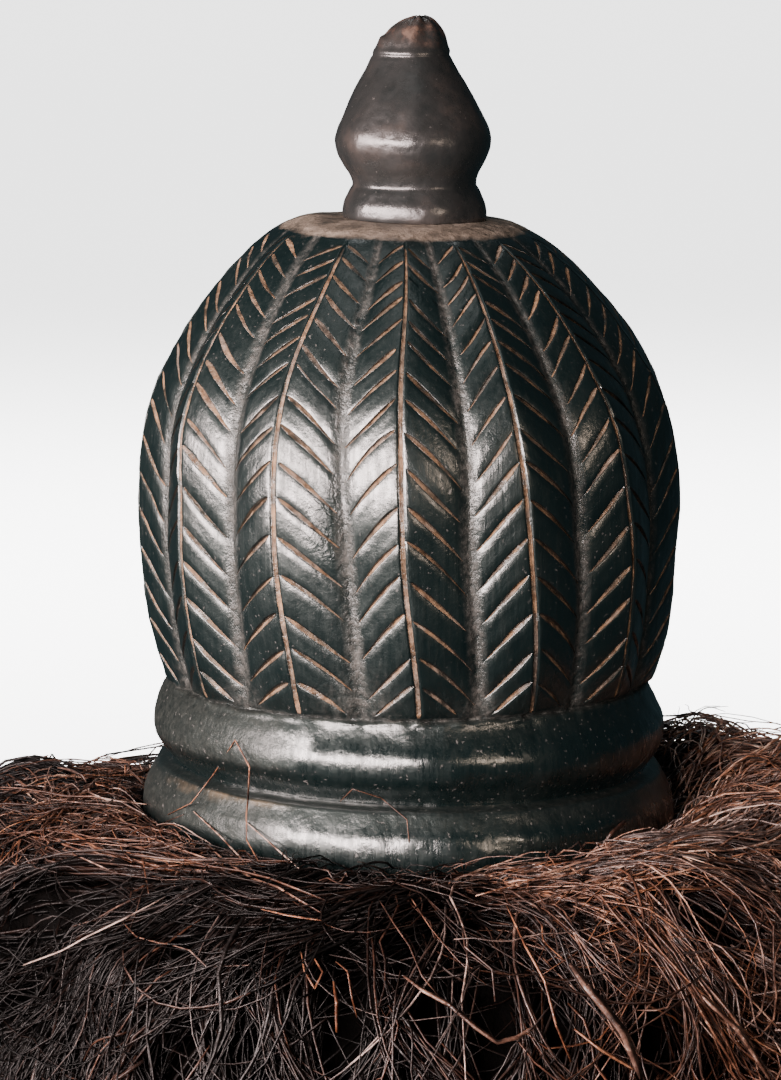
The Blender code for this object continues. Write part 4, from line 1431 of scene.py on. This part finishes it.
def round_mesh(name, section):
    """A pale surface of revolution round the object; it glows a little, so that
    it is as pale behind the object as in front of it."""
    turn = np.linspace(0.0, 2.0 * math.pi, 96, endpoint=False)
    rings = [[(r * math.sin(t), -r * math.cos(t), low - 0.002 + z) for t in turn] for r, z in section]
    count = len(turn)
    ff = [(i * count + j, i * count + (j + 1) % count, (i + 1) * count + (j + 1) % count, (i + 1) * count + j)
          for i in range(len(section) - 1) for j in range(count)]
    if section[0][0] < 0.2:
        ff.append(tuple(range(count))[::-1])
    mesh = bpy.data.meshes.new(name)
    mesh.from_pydata([v for ring in rings for v in ring], [], ff)
    mesh.shade_smooth()
    obj = bpy.data.objects.new(name, mesh)
    bpy.context.scene.collection.objects.link(obj)
    obj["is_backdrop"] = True
    n = Nodes(name + "_plain")
    n.shader.inputs["Base Color"].default_value = (0.80, 0.80, 0.80, 1.0)
    n.shader.inputs["Roughness"].default_value = 0.9
    n.shader.inputs["Specular IOR Level"].default_value = 0.1
    n.shader.inputs["Emission Color"].default_value = (1.0, 1.0, 1.0, 1.0)
    n.shader.inputs["Emission Strength"].default_value = 3.0
    mesh.materials.append(n.material)
    return obj


floor = round_mesh("floor", [(0.1, 0.0), (0.6, 0.0), (1.5, 0.0), (3.5, 0.0), (FLOOR_R, 0.0)])
wall = round_mesh("backdrop", wall_curve)


def area(name, azimuth, elevation, distance, wide, tall, power, colour, aim=(0, 0, -0.10), spread=180.0):
    """A soft light. Azimuth 0 is in front, + toward +X."""
    data = bpy.data.lights.new(name, "AREA")
    data.shape = "RECTANGLE"
    data.size, data.size_y = wide, tall
    data.energy = power
    data.color = colour
    data.spread = math.radians(spread)
    obj = bpy.data.objects.new(name, data)
    bpy.context.scene.collection.objects.link(obj)
    a, e = math.radians(azimuth), math.radians(elevation)
    aim = Vector(aim)
    obj.location = aim + Vector((math.sin(a) * math.cos(e), -math.cos(a) * math.cos(e), math.sin(e))) * distance
    obj.rotation_euler = (aim - obj.location).to_track_quat("-Z", "Y").to_euler()
    return obj


# a wide window on the left, a small warm lamp on the right
area("key", -42.0, 9.5, 1.6, 2.34, 0.49, 200.0, (1.0, 0.820, 0.790))
area("lamp_right", 39.0, 12.0, 1.8, 0.24, 0.24, 5.0, (1.0, 0.76, 0.60))
area("top", -20.0, 75.0, 1.8, 1.0, 1.0, 2.5, (1.0, 0.97, 0.95))
area("floor_wash", 0.0, 89.0, 2.4, 3.0, 1.2, 110.0, (1.0, 1.0, 1.0), aim=(0.0, 1.7, -0.4), spread=70.0)
# the studio floor doesn't light the object, as with dark cards round it
for surface in (floor, wall):
    surface.visible_diffuse = False
    surface.visible_glossy = False
wall.visible_shadow = False

world = bpy.data.worlds.new("studio")
bpy.context.scene.world = world
world.use_nodes = True
bg = world.node_tree.nodes["Background"]
bg.inputs["Color"].default_value = (0.48, 0.86, 1.0, 1.0)
bg.inputs["Strength"].default_value = 0.045
